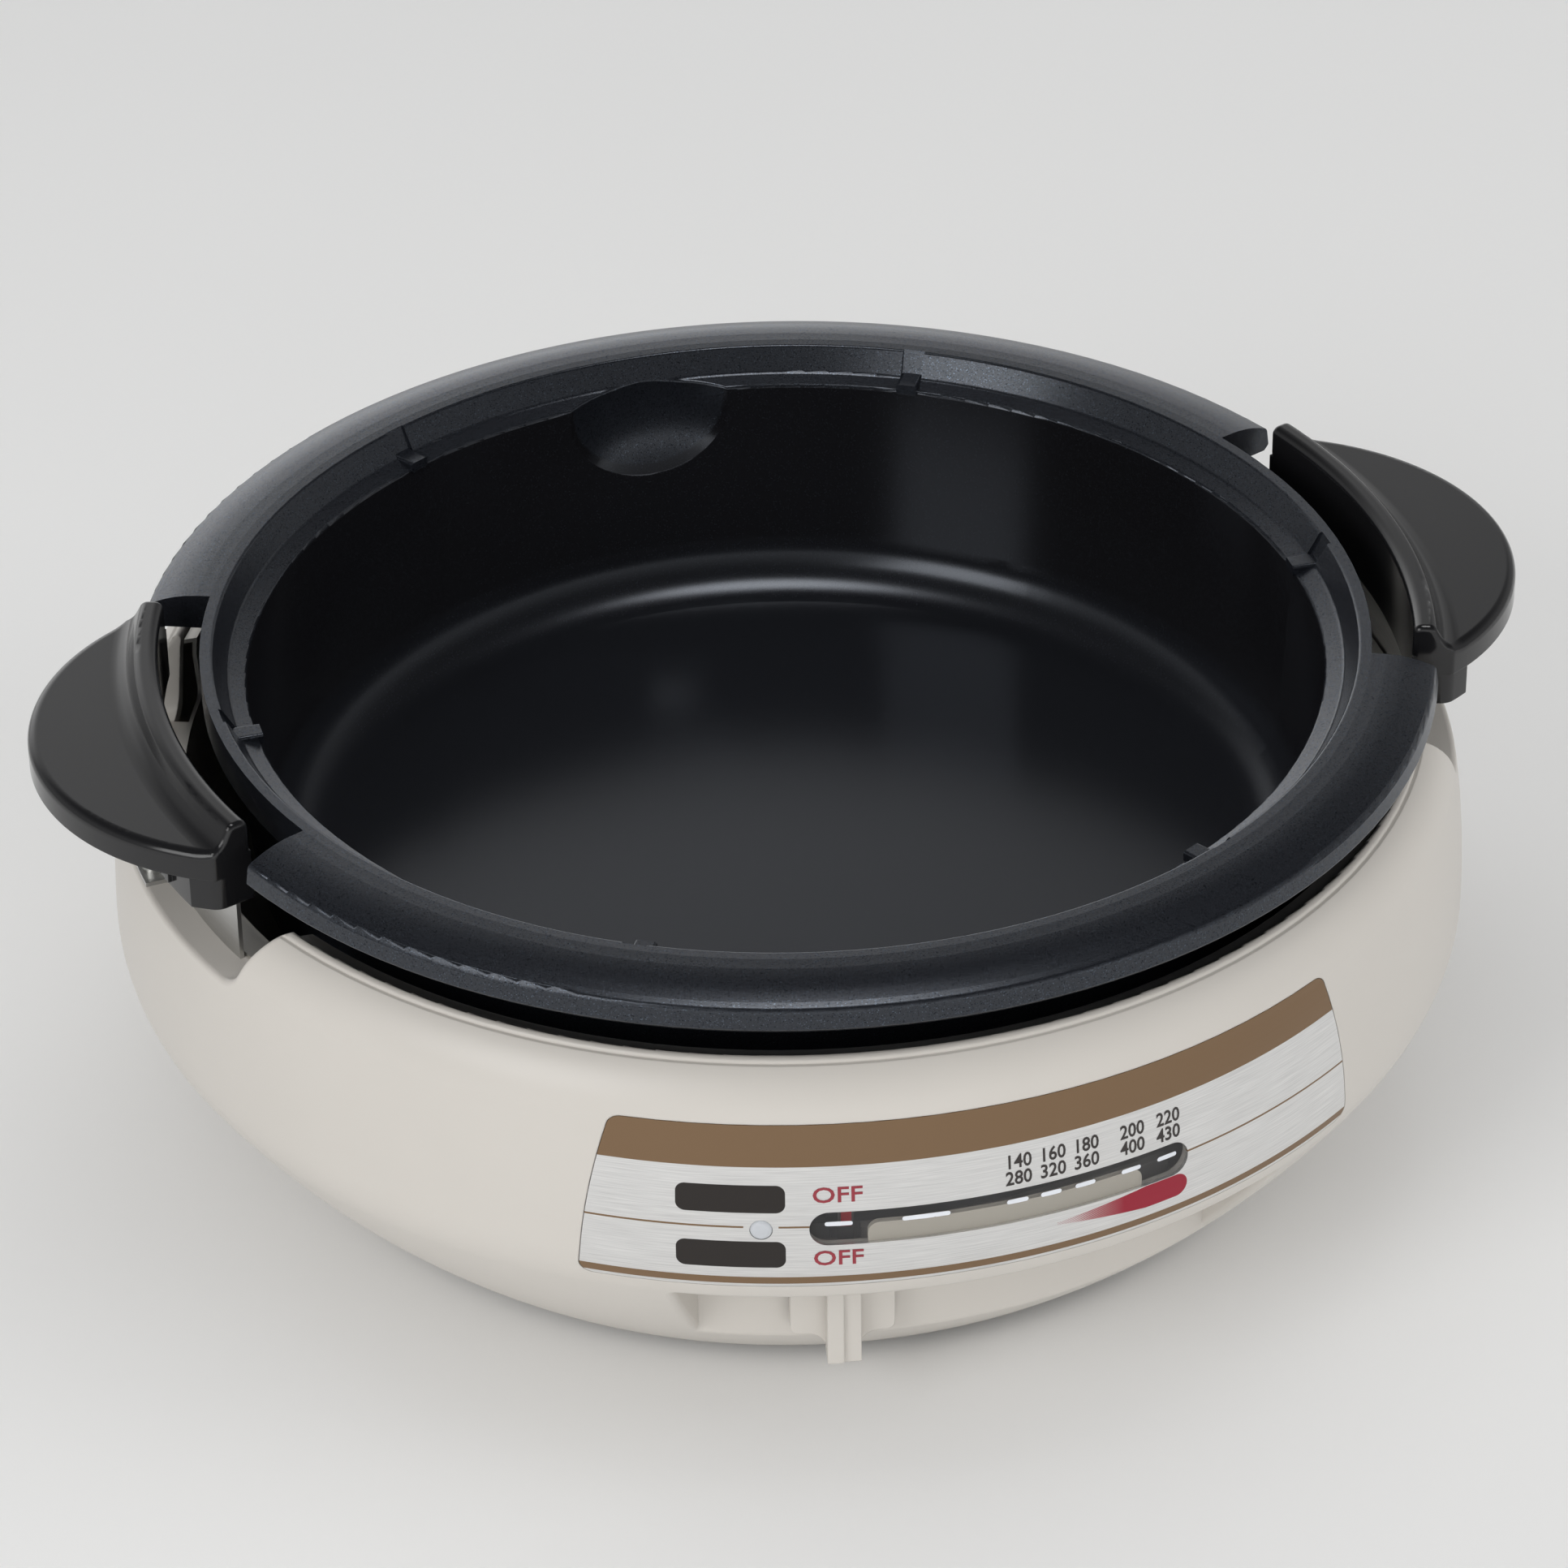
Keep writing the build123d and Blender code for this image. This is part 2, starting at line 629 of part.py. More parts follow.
def make_pillars():
    post = tube(0, pillar_radius, plate_top, guard_floor)
    collar = tube(0, pillar_radius + 2.5, plate_top, plate_top + 3)
    bore_low = tube(0, screw_radius + screw_clearance, plate_top, plate_top + 9)
    bore_high = tube(0, screw_radius + screw_clearance, guard_floor - 9, guard_floor)
    return around(Pos(pillar_circle, 0, 0) * (post + collar - bore_low - bore_high), pillar_angles)


def make_guard_screws():
    one = Pos(pillar_circle, 0, 0) * hung_screw(reflector_top + 2.4, 2.4, guard_floor - 8)
    return around(one, pillar_angles)


def element_ring():
    span = math.degrees(math.asin(element_gap_half / element_radius))
    bend_turn = math.degrees(element_bend / element_radius)
    first = 90 + span + bend_turn
    return Edge.make_circle(element_radius, Plane.XY.offset(element_height),
                            start_angle=first, end_angle=first + 360 - 2 * (span + bend_turn))


def element_legs():
    """Top of each upright leg of the element."""
    ring = element_ring()
    ends = []
    for end, sign in ((0.0, -1), (1.0, 1)):
        ahead = (ring % end) * sign
        ends.append(ring @ end + ahead * element_bend - Vector(0, 0, element_bend))
    return ends


def element_leg_places():
    return [Pos(v.X, v.Y, 0) for v in element_legs()]


def make_element():
    """Ring with both ends bent down through the guard's floor."""
    ring = element_ring()
    half = math.sqrt(0.5)
    pieces = [ring]
    for end, sign in ((0.0, -1), (1.0, 1)):
        start = ring @ end
        ahead = (ring % end) * sign
        middle = start + ahead * (element_bend * half) - Vector(0, 0, element_bend * (1 - half))
        stop = start + ahead * element_bend - Vector(0, 0, element_bend)
        bend = Edge.make_three_point_arc(start, middle, stop)
        leg = Edge.make_line(stop, Vector(stop.X, stop.Y, guard_floor - element_leg_length))
        pieces += [bend, leg]
    path = Wire(pieces)
    element = sweep((path ^ 0) * Circle(element_tube), path=path)
    return element - tube(0, element_radius + 40, element_top, element_top + 10)


def make_element_seals():
    seal = tube(element_tube + 0.05, seal_radius, guard_floor - seal_length, guard_top + seal_length)
    return [place * seal for place in element_leg_places()]


def make_element_clips():
    ring = Pos(0, 0, element_height) * Torus(element_radius, element_tube + 0.05)
    high = element_height + 1.5
    block = Box(clip_depth, clip_width, high - reflector_top)
    block = Pos(element_radius, 0, (reflector_top + high) / 2) * block
    return [Rot(0, 0, a) * block - ring for a in clip_angles]


# ---------------------------------------------------------------- sensor under the pan
housing_low = guard_floor - 1.0
housing_floor = housing_low + sensor_housing_wall
cap_top = pan_bottom - contact_gap


def make_sensor_housing():
    high = cap_top - sensor_travel - 2.0
    cup = tube(0, sensor_housing_radius, housing_low, high) - tube(0, sensor_bore, housing_floor, high + 1)
    flange = tube(sensor_housing_radius - 0.5, sensor_housing_radius + 3.5, guard_top, guard_top + 1.0)
    return cup + flange


def make_sensor_cap():
    cap = tube(0, sensor_radius, cap_top - sensor_skirt, cap_top)
    cap = fillet(cap.edges().sort_by(Axis.Z)[-1], 1.0)
    return cap - tube(0, sensor_radius - 1.2, cap_top - sensor_skirt - 1, cap_top - sensor_cap_wall)


def make_sensor_spring():
    low = housing_floor + spring_wire + 0.1
    high = cap_top - sensor_cap_wall - spring_wire - 0.1
    coil = Helix((high - low) / spring_turns, high - low, spring_radius)
    coil = Pos(0, 0, low) * coil
    return sweep((coil ^ 0) * Circle(spring_wire), path=coil)


# ---------------------------------------------------------------- thermostat and wiring
bracket_top = arm_height - 3.0
bracket_low = bracket_top - 1.5
bracket_half_length = 36.0
bracket_half_width = 16.0
thermostat_low = bracket_low - 18.5
spindle_low = bracket_low - 5.5
thermostat_screw_places = [Pos(x, 9.0, 0) for x in (-13.0, 13.0)]


def make_thermostat_bracket():
    thickness = bracket_top - bracket_low
    bracket = Box(2 * bracket_half_length, 2 * bracket_half_width, thickness)
    bracket = Pos(0, 0, (bracket_top + bracket_low) / 2) * bracket
    for side in (-1, 1):
        leg_height = bracket_top - plate_top
        leg = Box(thickness, 2 * bracket_half_width, leg_height)
        bracket += Pos(side * (bracket_half_length - thickness / 2), 0, plate_top + leg_height / 2) * leg
        foot = Box(9, 2 * bracket_half_width, thickness)
        bracket += Pos(side * (bracket_half_length + 3.5), 0, plate_top + thickness / 2) * foot
    bracket -= tube(0, spindle_radius + spindle_clearance, bracket_low - 1, bracket_top + 1)
    for place in thermostat_screw_places:
        bracket -= place * tube(0, screw_radius + screw_clearance, bracket_low - 1, bracket_top + 1)
    return bracket


def make_thermostat_body():
    body = tube(0, thermostat_radius, thermostat_low, bracket_low)
    body = fillet(body.edges().sort_by(Axis.Z)[0], 2.0)
    step = tube(0, thermostat_radius - 5, thermostat_low - 3, thermostat_low + 0.5)
    body += step
    body -= tube(0, spindle_radius + spindle_clearance, spindle_low - 0.3, bracket_low + 1)
    for place in thermostat_screw_places:
        body -= place * tube(0, screw_radius + screw_clearance, bracket_low - 8, bracket_low + 1)
    return body


def make_thermostat_screws():
    one = hung_screw(bracket_top + 1.8, 1.8, bracket_low - 7, 3.2)
    return [place * one for place in thermostat_screw_places]


fuse_radius = 2.5
fuse_length = 20.0
fuse_x = 60.0
fuse_y = 35.0
fuse_height = guard_floor - fuse_radius - 0.8


def make_thermal_fuse():
    fuse = Rot(0, 90, 0) * Cylinder(fuse_radius, fuse_length)
    fuse = fillet(fuse.edges(), 0.8)
    return Pos(fuse_x, fuse_y, fuse_height) * fuse


def make_fuse_clip():
    low = fuse_height - fuse_radius - 1.2
    clip = Pos(fuse_x, fuse_y, (low + guard_floor) / 2) * Box(7, 8.5, guard_floor - low)
    hole = Pos(fuse_x, fuse_y, fuse_height) * Rot(0, 90, 0) * Cylinder(fuse_radius + 0.05, 20)
    return clip - hole


lead_join = element_legs()
leg_end = guard_floor - element_leg_length
lead_floor = plate_top + 6.5
pin_rear = inlet_face - 31.0
pin_half_spacing = 6.0


def make_lead_neutral():
    leg = lead_join[0] if lead_join[0].X < 0 else lead_join[1]
    x = -pin_half_spacing
    turn_y = pin_rear - 11
    return wire_tube([(x, pin_rear - 0.1, inlet_middle), (x, turn_y, inlet_middle), (x, turn_y, lead_floor),
                      (leg.X, leg.Y, lead_floor), (leg.X, leg.Y, leg_end - 0.1)], lead_radius, 4.0)


def make_lead_live():
    x = pin_half_spacing
    height = thermostat_low + 9.0
    return wire_tube([(x, pin_rear - 0.1, inlet_middle), (x, pin_rear - 11, inlet_middle),
                      (0.5, pin_rear - 19, height), (-2, 60, height), (1.5, thermostat_radius + 0.3, height)],
                     lead_radius, 5.0)


def make_lead_switched():
    height = thermostat_low + 7.0
    corner = (20, bracket_half_width + 6, height)
    start = point_at(thermostat_radius + 0.2, math.degrees(math.atan2(corner[1], corner[0])), height)
    return wire_tube([start, corner, (34, fuse_y - 2, height + 5),
                      (38, fuse_y, fuse_height), (fuse_x - fuse_length / 2 - 0.1, fuse_y, fuse_height)],
                     lead_radius, [4.0, 4.0, 4.0])


def make_lead_fused():
    leg = lead_join[0] if lead_join[0].X > 0 else lead_join[1]
    start_x = fuse_x + fuse_length / 2 + 0.1
    return wire_tube([(start_x, fuse_y, fuse_height), (start_x + 10, fuse_y, fuse_height),
                      (start_x + 8, fuse_y + 6, lead_floor), (40, 84, lead_floor), (leg.X, leg.Y, lead_floor),
                      (leg.X, leg.Y, leg_end - 0.1)], lead_radius, 4.0)


lamp_rear = casing_radius - 13.0


def make_lead_lamp():
    start = point_at(thermostat_radius + 0.2, -132, thermostat_low + 6)
    low = point_at(bottom_radius + 2, -124, thermostat_low + 6)
    rise = point_at(casing_radius - 21, -121, slot_middle - 18)
    beside = point_at(casing_radius - 15, -115, slot_middle)
    end = point_at(lamp_rear - lead_radius - 0.1, lamp_angle, slot_middle)
    return wire_tube([start, low, rise, beside, end], lead_radius, 5.0)


# ---------------------------------------------------------------- inlet
def inlet_place():
    return Rot(0, 0, inlet_angle - 90)


def make_inlet_socket():
    back = inlet_face - 24.0
    front = inlet_face + 2.0
    body = Box(inlet_body_width, front - back, inlet_body_height)
    body = Pos(0, (front + back) / 2, inlet_middle) * fillet(body.edges().filter_by(Axis.Y), 2.8)
    plate = Box(2 * inlet_screw_x + 9, 2.0, inlet_body_height + 4)
    plate = Pos(0, inlet_face + 1.0, inlet_middle) * fillet(plate.edges().filter_by(Axis.Y), 4.0)
    cavity_depth = 18.0
    cavity = Box(inlet_body_width - 6, cavity_depth + 1, inlet_body_height - 5)
    cavity = fillet(cavity.edges().filter_by(Axis.Y), 2.0)
    cavity = Pos(0, front - cavity_depth / 2 + 0.5, inlet_middle) * cavity
    socket = body + plate - cavity
    for x in (-pin_half_spacing, pin_half_spacing):
        socket -= Pos(x, back, inlet_middle) * Rot(90, 0, 0) * Cylinder(2.05, 40)
    for x in (-inlet_screw_x, inlet_screw_x):
        socket -= Pos(x, inlet_face, inlet_middle) * Rot(90, 0, 0) * Cylinder(screw_radius + 0.1, 10)
    return inlet_place() * socket


def make_inlet_pins():
    front = inlet_face - 2.0
    pins = []
    for x in (-pin_half_spacing, pin_half_spacing):
        pin = Rot(90, 0, 0) * Cylinder(2.0, front - pin_rear)
        pin = fillet(pin.edges().sort_by(Axis.Y)[-1], 1.0)
        pins.append(inlet_place() * Pos(x, (front + pin_rear) / 2, inlet_middle) * pin)
    return pins


def make_inlet_screws():
    one = hung_screw(inlet_face + 2.0 + 1.8, 1.8, inlet_face - 7, 3.2)
    one = Rot(-90, 0, 0) * one
    return [inlet_place() * Pos(x, 0, inlet_middle) * one for x in (-inlet_screw_x, inlet_screw_x)]


# ---------------------------------------------------------------- front panel
guide_radius = casing_radius - 13.0
guide_low = recess_high + casing_wall + 4.5
guide_high = slot_middle - guide_drop
guide_middle = (guide_left + guide_right) / 2
guide_half_angle = (guide_right - guide_left) / 2
guide_foot_half_angle = slot_half_angle + 2.6


def make_control_panel():
    skin = casing_region(0.0) - casing_region(panel_thickness)
    panel = skin & panel_tool(0.0)
    panel -= slot_tool(0.0)
    return panel - lamp_tool(lamp_radius + 0.05)


def make_slot_window():
    skin = casing_region(panel_thickness + 0.05) - casing_region(panel_thickness + 1.5)
    return skin & slot_tool(0.5)


def make_lamp_lens():
    lens = tube(0, lamp_radius, casing_radius - 4.0, casing_radius + 0.4)
    lens = fillet(lens.edges().sort_by(Axis.Z)[-1], 1.2)
    return radial(lens, lamp_angle, slot_middle)


def make_indicator_lamp():
    lamp = tube(0, 2.4, lamp_rear, casing_radius - 4.2)
    lamp = fillet(lamp.edges().sort_by(Axis.Z)[-1], 1.5)
    collar = tube(0, 2.8, lamp_rear, lamp_rear + 3)
    return radial(lamp + collar, lamp_angle, slot_middle)


def make_pointer_guide():
    inner = guide_radius - 2.5
    rail = sector(inner, guide_radius, guide_low, guide_high, guide_middle, guide_half_angle)
    rail += sector(inner, guide_radius, guide_low, guide_low + 2, front_angle, guide_foot_half_angle)
    for side in (-1, 1):
        rail += sector(inner, guide_radius, recess_high + casing_wall, guide_low + 2,
                       front_angle + side * (guide_foot_half_angle - 1.2), 1.2)
    return rail


# ---------------------------------------------------------------- lever
riser_radius = recess_radius - casing_wall - 3.4
riser_thickness = 1.5
riser_width = 6.0
pointer_radius = casing_radius - 11.3
bridge_low = recess_high + casing_wall + 2.0


def make_lever_arm():
    end = lever_back + arm_seat
    middle_height = arm_height + arm_thickness / 2
    arm = tube(0, 9.0, arm_height, arm_height + arm_thickness)
    arm += Pos(end / 2 + 2, 0, middle_height) * Box(end - 4, arm_width, arm_thickness)
    riser_height = bridge_low + riser_thickness - arm_height
    riser = Box(riser_thickness, riser_width, riser_height)
    arm += Pos(riser_radius + riser_thickness / 2, 0, arm_height + riser_height / 2) * riser
    bridge_length = pointer_radius + riser_thickness - riser_radius
    bridge = Box(bridge_length, riser_width, riser_thickness)
    arm += Pos(riser_radius + bridge_length / 2, 0, bridge_low + riser_thickness / 2) * bridge
    post_height = slot_middle + 6 - bridge_low
    post = Box(riser_thickness, riser_width - 2, post_height)
    arm += Pos(pointer_radius + riser_thickness / 2, 0, bridge_low + post_height / 2) * post
    arm -= tube(0, spindle_radius + spindle_clearance, arm_height - 1, arm_height + arm_thickness + 1)
    return Rot(0, 0, lever_off_angle) * arm


def lever_front_outline():
    """Plate and hanging rib seen from the front, across and up."""
    high = recess_high - lever_clearance
    half = lever_front * math.sin(math.radians(lever_half_angle))
    rib = rib_width / 2
    low = lever_low
    tail = lever_low - rib_drop
    points = [(-half, high), (-half, low), (-rib, low), (-rib, tail),
              (rib, tail), (rib, low), (half, low), (half, high)]
    return outline_of(points, [0, lever_corner, rib_flare, 1.5, 1.5, rib_flare, lever_corner, 0])


def make_temperature_lever():
    high = recess_high - lever_clearance
    tail = lever_low - rib_drop
    body = extrude(Plane.YZ * make_face(lever_front_outline()), casing_radius)
    plate = body & tube(lever_back, lever_front, tail - 1, high)
    front = lever_front + rib_depth
    middle = (high + tail) / 2
    rib = Pos((lever_front + front) / 2 - 1, 0, middle) * Box(rib_depth + 2, rib_width, high - tail)
    step = Box(rib_step + 1, rib_width / 2, high - tail)
    rib += Pos(front + rib_step / 2 - 0.5, -rib_width / 4, middle) * step
    rib = fillet(rib.edges().filter_by(Axis.Z).group_by(Axis.X)[-1], 0.5)
    rib = fillet(rib.edges().filter_by(Axis.Y).group_by(Axis.Z)[0].group_by(Axis.X)[-1], 1.0)
    lever = plate + rib
    pocket_half = math.degrees((arm_width / 2 + 0.25) / lever_back)
    lever -= sector(lever_back - 1, lever_back + arm_seat + 0.3, arm_height - 0.1,
                    arm_height + arm_thickness + 0.1, 0, pocket_half)
    return Rot(0, 0, lever_off_angle) * lever


def make_lever_pointer():
    front = pointer_radius + riser_thickness
    height = slot_height + 2
    pointer = Pos(front + 0.5, 0, slot_middle) * Box(1.0, pointer_width, height)
    return Rot(0, 0, lever_off_angle) * pointer


def make_spindle():
    rod = tube(0, spindle_radius, spindle_low, arm_height + arm_thickness + 0.6)
    collar = tube(0, spindle_radius + 2, bracket_top + 0.3, arm_height)
    return rod + collar


# ---------------------------------------------------------------- handles
def lobe(shrink, low, high):
    tip = rim_radius + handle_reach
    disc = Pos(tip - lobe_radius, 0, low) * Circle(lobe_radius - shrink)
    return extrude(disc, high - low)


def grip_outline():
    """Section of the grip: inner wall, ridge, hollow slope and plate, as (radius, height)."""
    top = rim_height + handle_rise
    slope_start = wall_radius + ridge_width
    points = [(wall_radius, grip_low), (wall_radius, top), (slope_start, top),
              (slope_start + ridge_slope, grip_high), (wall_radius + 80, grip_high),
              (wall_radius + 80, grip_low)]
    return outline_of(points, [0, ridge_round, ridge_round, slope_hollow, 0, 0])


def make_handle(side):
    turn = math.degrees(1.0 / wall_outside)
    wall = sector(wall_radius, wall_outside, handle_low, grip_low + 2, 0, handle_half_angle)
    grip = ring_piece(grip_outline(), 0, handle_half_angle) & lobe(0.0, grip_low, grip_high + 20)
    hollow = lobe(grip_wall, grip_low - 1, grip_high - grip_wall)
    hollow &= sector(wall_radius + ridge_width, wall_radius + 80, grip_low - 1, grip_high, 0,
                     handle_half_angle - 2 * turn)
    plate_rim = grip.edges().filter_by(GeomType.CIRCLE)
    plate_rim = plate_rim.filter_by(lambda e: abs(e.radius - lobe_radius) < 0.01).group_by(Axis.Z)[-1]
    grip = soften(grip, plate_rim, edge_round)
    ends = grip.edges().filter_by(lambda e: e.center().Z > grip_low + 1)
    ends = ends.filter_by(lambda e: abs(abs(angle_of(e.center())) - handle_half_angle) < 0.01)
    grip = soften(grip, ends, end_round)
    handle = grip - hollow + wall
    for sign in (-1, 1):
        middle = sign * (handle_half_angle + leg_inner_angle) / 2
        half = (handle_half_angle - leg_inner_angle) / 2
        leg = sector(wall_radius, wall_radius + leg_depth, handle_low, grip_high - grip_wall, middle, half)
        inside = sector(wall_outside, wall_radius + leg_depth - grip_wall, handle_low - 1, grip_low,
                        middle, half - 1.5 * turn)
        leg &= lobe(0.6, handle_low, grip_high)
        inside &= lobe(grip_wall + 0.6, handle_low - 1, grip_high)
        corner = leg.edges().filter_by(Axis.Z).filter_by(lambda e: abs(e.center().Y) > wall_outside * 0.3)
        corner = corner.filter_by(lambda e: math.hypot(e.center().X, e.center().Y) > wall_outside)
        leg = fillet(corner.sort_by(lambda e: -abs(e.center().Y))[0], leg_round)
        handle += leg - inside
        for n in (0, 1):
            rib_angle = sign * (leg_inner_angle + 0.5 + 1.6 * n)
            rib = sector(wall_radius + leg_depth - 0.5, wall_radius + leg_depth + 1.2, handle_low + 2,
                         grip_low + 1, rib_angle, 0.35)
            handle += rib & lobe(0.6, handle_low, grip_high)
    for angle in (-handle_screw_angle, handle_screw_angle):
        hole = tube(0, screw_radius + screw_clearance, wall_radius + 0.6, wall_outside + 1)
        handle -= radial(hole, angle, handle_screw_height)
    return Rot(0, 0, side) * handle


def make_handle_brackets():
    brackets = []
    for side in (left, right):
        outer = strap_radius + strap_thickness
        strap = sector(strap_radius, outer, saddle_height, grip_low - 1, 0, strap_half_angle)
        strap += sector(strap_radius, outer, saddle_height, handle_low - contact_gap,
                        0, strap_foot_half_angle)
        for angle in (-bracket_screw_angle, bracket_screw_angle):
            strap += sector(strap_radius, bracket_screw_circle + 4, saddle_height,
                            saddle_height + strap_thickness, angle, 2.2)
            strap -= Rot(0, 0, angle) * Pos(bracket_screw_circle, 0, 0) * tube(
                0, screw_radius + screw_clearance, saddle_height - 1, saddle_height + 3)
        for angle in (-handle_screw_angle, handle_screw_angle):
            hole = tube(0, screw_radius + screw_clearance, strap_radius - 1, outer + 1)
            strap -= radial(hole, angle, handle_screw_height)
        brackets.append(Rot(0, 0, side) * strap)
    return brackets


def make_handle_screws():
    head = strap_radius + strap_thickness
    one = hung_screw(head + 2.0, 2.0, wall_radius + 0.8, 3.2)
    return [radial(one, side + turn, handle_screw_height)
            for side in (left, right) for turn in (-handle_screw_angle, handle_screw_angle)]


def make_bracket_screws():
    one = hung_screw(saddle_height + strap_thickness + 2.0, 2.0, saddle_height - casing_wall - 5, 3.2)
    return [place * one for place in bracket_screw_places()]


# ---------------------------------------------------------------- output
def solids_of(shape):
    if isinstance(shape, (list, tuple)):
        return [s for item in shape for s in solids_of(item)]
    return list(shape.solids())


def write(name, shape):
    pieces = solids_of(shape)
    whole = pieces[0] if len(pieces) == 1 else Compound(children=pieces)
    export_step(whole, f"parts/{name}.step")
    print(name, len(pieces))


makers = {
    "deep_pan": make_pan,
    "body_casing": make_casing,
    "base_plate": make_base_plate,
    "rubber_feet": make_feet,
    "casing_screws": make_casing_screws,
    "pillar_screws": make_pillar_screws,
    "heat_guard": make_heat_guard,
    "guard_pillars": make_pillars,
    "guard_screws": make_guard_screws,
    "reflector_plate": make_reflector,
    "heating_element": make_element,
    "element_seals": make_element_seals,
    "element_clips": make_element_clips,
    "sensor_housing": make_sensor_housing,
    "sensor_cap": make_sensor_cap,
    "sensor_spring": make_sensor_spring,
    "thermostat_bracket": make_thermostat_bracket,
    "thermostat_body": make_thermostat_body,
    "thermostat_screws": make_thermostat_screws,
    "thermal_fuse": make_thermal_fuse,
    "fuse_clip": make_fuse_clip,
    "lead_neutral": make_lead_neutral,
    "lead_live": make_lead_live,
    "lead_switched": make_lead_switched,
    "lead_fused": make_lead_fused,
    "lead_lamp": make_lead_lamp,
    "inlet_socket": make_inlet_socket,
    "inlet_pins": make_inlet_pins,
    "inlet_screws": make_inlet_screws,
    "control_panel": make_control_panel,
    "slot_window": make_slot_window,
    "lamp_lens": make_lamp_lens,
    "indicator_lamp": make_indicator_lamp,
    "pointer_guide": make_pointer_guide,
    "lever_arm": make_lever_arm,
    "temperature_lever": make_temperature_lever,
    "lever_pointer": make_lever_pointer,
    "thermostat_spindle": make_spindle,
    "left_handle": lambda: make_handle(left),
    "right_handle": lambda: make_handle(right),
    "handle_brackets": make_handle_brackets,
    "handle_screws": make_handle_screws,
    "bracket_screws": make_bracket_screws,
}

os.makedirs("parts", exist_ok=True)
for name, maker in makers.items():
    write(name, maker())
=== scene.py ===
import json
import math

import bmesh
import bpy
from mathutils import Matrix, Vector


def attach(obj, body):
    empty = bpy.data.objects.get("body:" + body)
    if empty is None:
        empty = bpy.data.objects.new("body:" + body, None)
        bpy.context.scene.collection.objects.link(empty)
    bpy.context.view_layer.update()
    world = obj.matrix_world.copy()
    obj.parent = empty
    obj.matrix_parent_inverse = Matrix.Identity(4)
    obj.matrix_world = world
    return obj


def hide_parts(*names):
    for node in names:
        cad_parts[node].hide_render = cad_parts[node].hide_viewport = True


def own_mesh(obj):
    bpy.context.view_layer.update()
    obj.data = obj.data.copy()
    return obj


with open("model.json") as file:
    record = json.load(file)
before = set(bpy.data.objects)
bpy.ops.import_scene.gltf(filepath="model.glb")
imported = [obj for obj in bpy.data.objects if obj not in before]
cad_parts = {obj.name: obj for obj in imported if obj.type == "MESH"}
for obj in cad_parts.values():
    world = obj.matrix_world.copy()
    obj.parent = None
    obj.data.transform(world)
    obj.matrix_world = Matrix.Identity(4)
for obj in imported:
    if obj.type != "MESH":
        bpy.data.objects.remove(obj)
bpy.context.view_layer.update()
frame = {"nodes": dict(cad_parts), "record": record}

mm = 0.001
print("frame loaded:", len(frame["nodes"]), "nodes")


# view, floor and light
stage = {
    "cameraPlace": (-0.364938, -1.310948, 0.979925),
    "cameraTurn": (56.717073, 0.704427, -15.979457),
    "lens": 139.2589,
    "sensorWidth": 36.0,
    "floorColour": (0.885, 0.885, 0.88),
    "floorReach": 3.0,
    "floorGrain": (0.8, 300.0),         # grain size and patch size, millimetres
    "floorTones": (0.985, 1.015),
    "floorRough": (0.75, 0.85),
    "skyColour": (1.0, 1.0, 1.0),
    "skyStrength": 0.57,
}
lamps = {
    # name: place, aim, width, depth, watts, shows in shiny surfaces
    "overhead": ((0.05, 0.30, 1.55), (0.0, 0.0, 0.1), 1.30, 0.90, 3.0, False),
    "leftFill": ((-1.50, -1.00, 1.10), (0.0, 0.0, 0.08), 1.00, 1.00, 11.2, True),
    "rightFill": ((1.50, -0.60, 0.90), (0.0, 0.0, 0.08), 0.80, 0.80, 4.3, False),
    "frontFill": ((-0.20, -1.70, 0.22), (0.0, 0.0, 0.05), 1.20, 0.36, 4.2, False),
}


def linkIn(obj):
    bpy.context.scene.collection.objects.link(obj)
    return obj


def makeView():
    camera = bpy.data.cameras.new("viewCamera")
    camera.lens = stage["lens"]
    camera.sensor_width = stage["sensorWidth"]
    holder = linkIn(bpy.data.objects.new("viewCamera", camera))
    holder.location = stage["cameraPlace"]
    holder.rotation_euler = [math.radians(turn) for turn in stage["cameraTurn"]]
    bpy.context.scene.camera = holder
    bpy.context.scene.view_settings.view_transform = "Standard"


def makeLamps():
    for name, (place, aim, width, depth, watts, mirrored) in lamps.items():
        light = bpy.data.lights.new(name, "AREA")
        light.shape = "RECTANGLE"
        light.size = width
        light.size_y = depth
        light.energy = watts
        holder = linkIn(bpy.data.objects.new(name, light))
        holder.visible_glossy = mirrored
        holder.location = place
        heading = Vector(aim) - Vector(place)
        holder.rotation_euler = heading.to_track_quat("-Z", "Y").to_euler()


room = {    # what shiny surfaces mirror, by the direction's x, y and z, and a soft box overhead
    "horizon": 1.50,
    "middle": 0.22,
    "middleHeights": (0.34, 0.68),
    "ceiling": 0.10,
    "ceilingHeight": 0.95,
    "boxAim": (0.03, 0.0, 1.0),
    "boxBrightness": 6.5,
    "boxEdges": (0.966, 0.9925),    # cosines of its outer edge and its full core
    "spread": 1.2,                  # how fast the rear's brightness falls off sideways
    "sideEnds": (0.10, 0.70),
    "sideShare": 0.25,
    "frontGlow": 0.80,              # low glow opposite the rear
    "frontHeights": (0.15, 0.32),
    "frontDepths": (-0.8, -0.5),    # full and gone
}


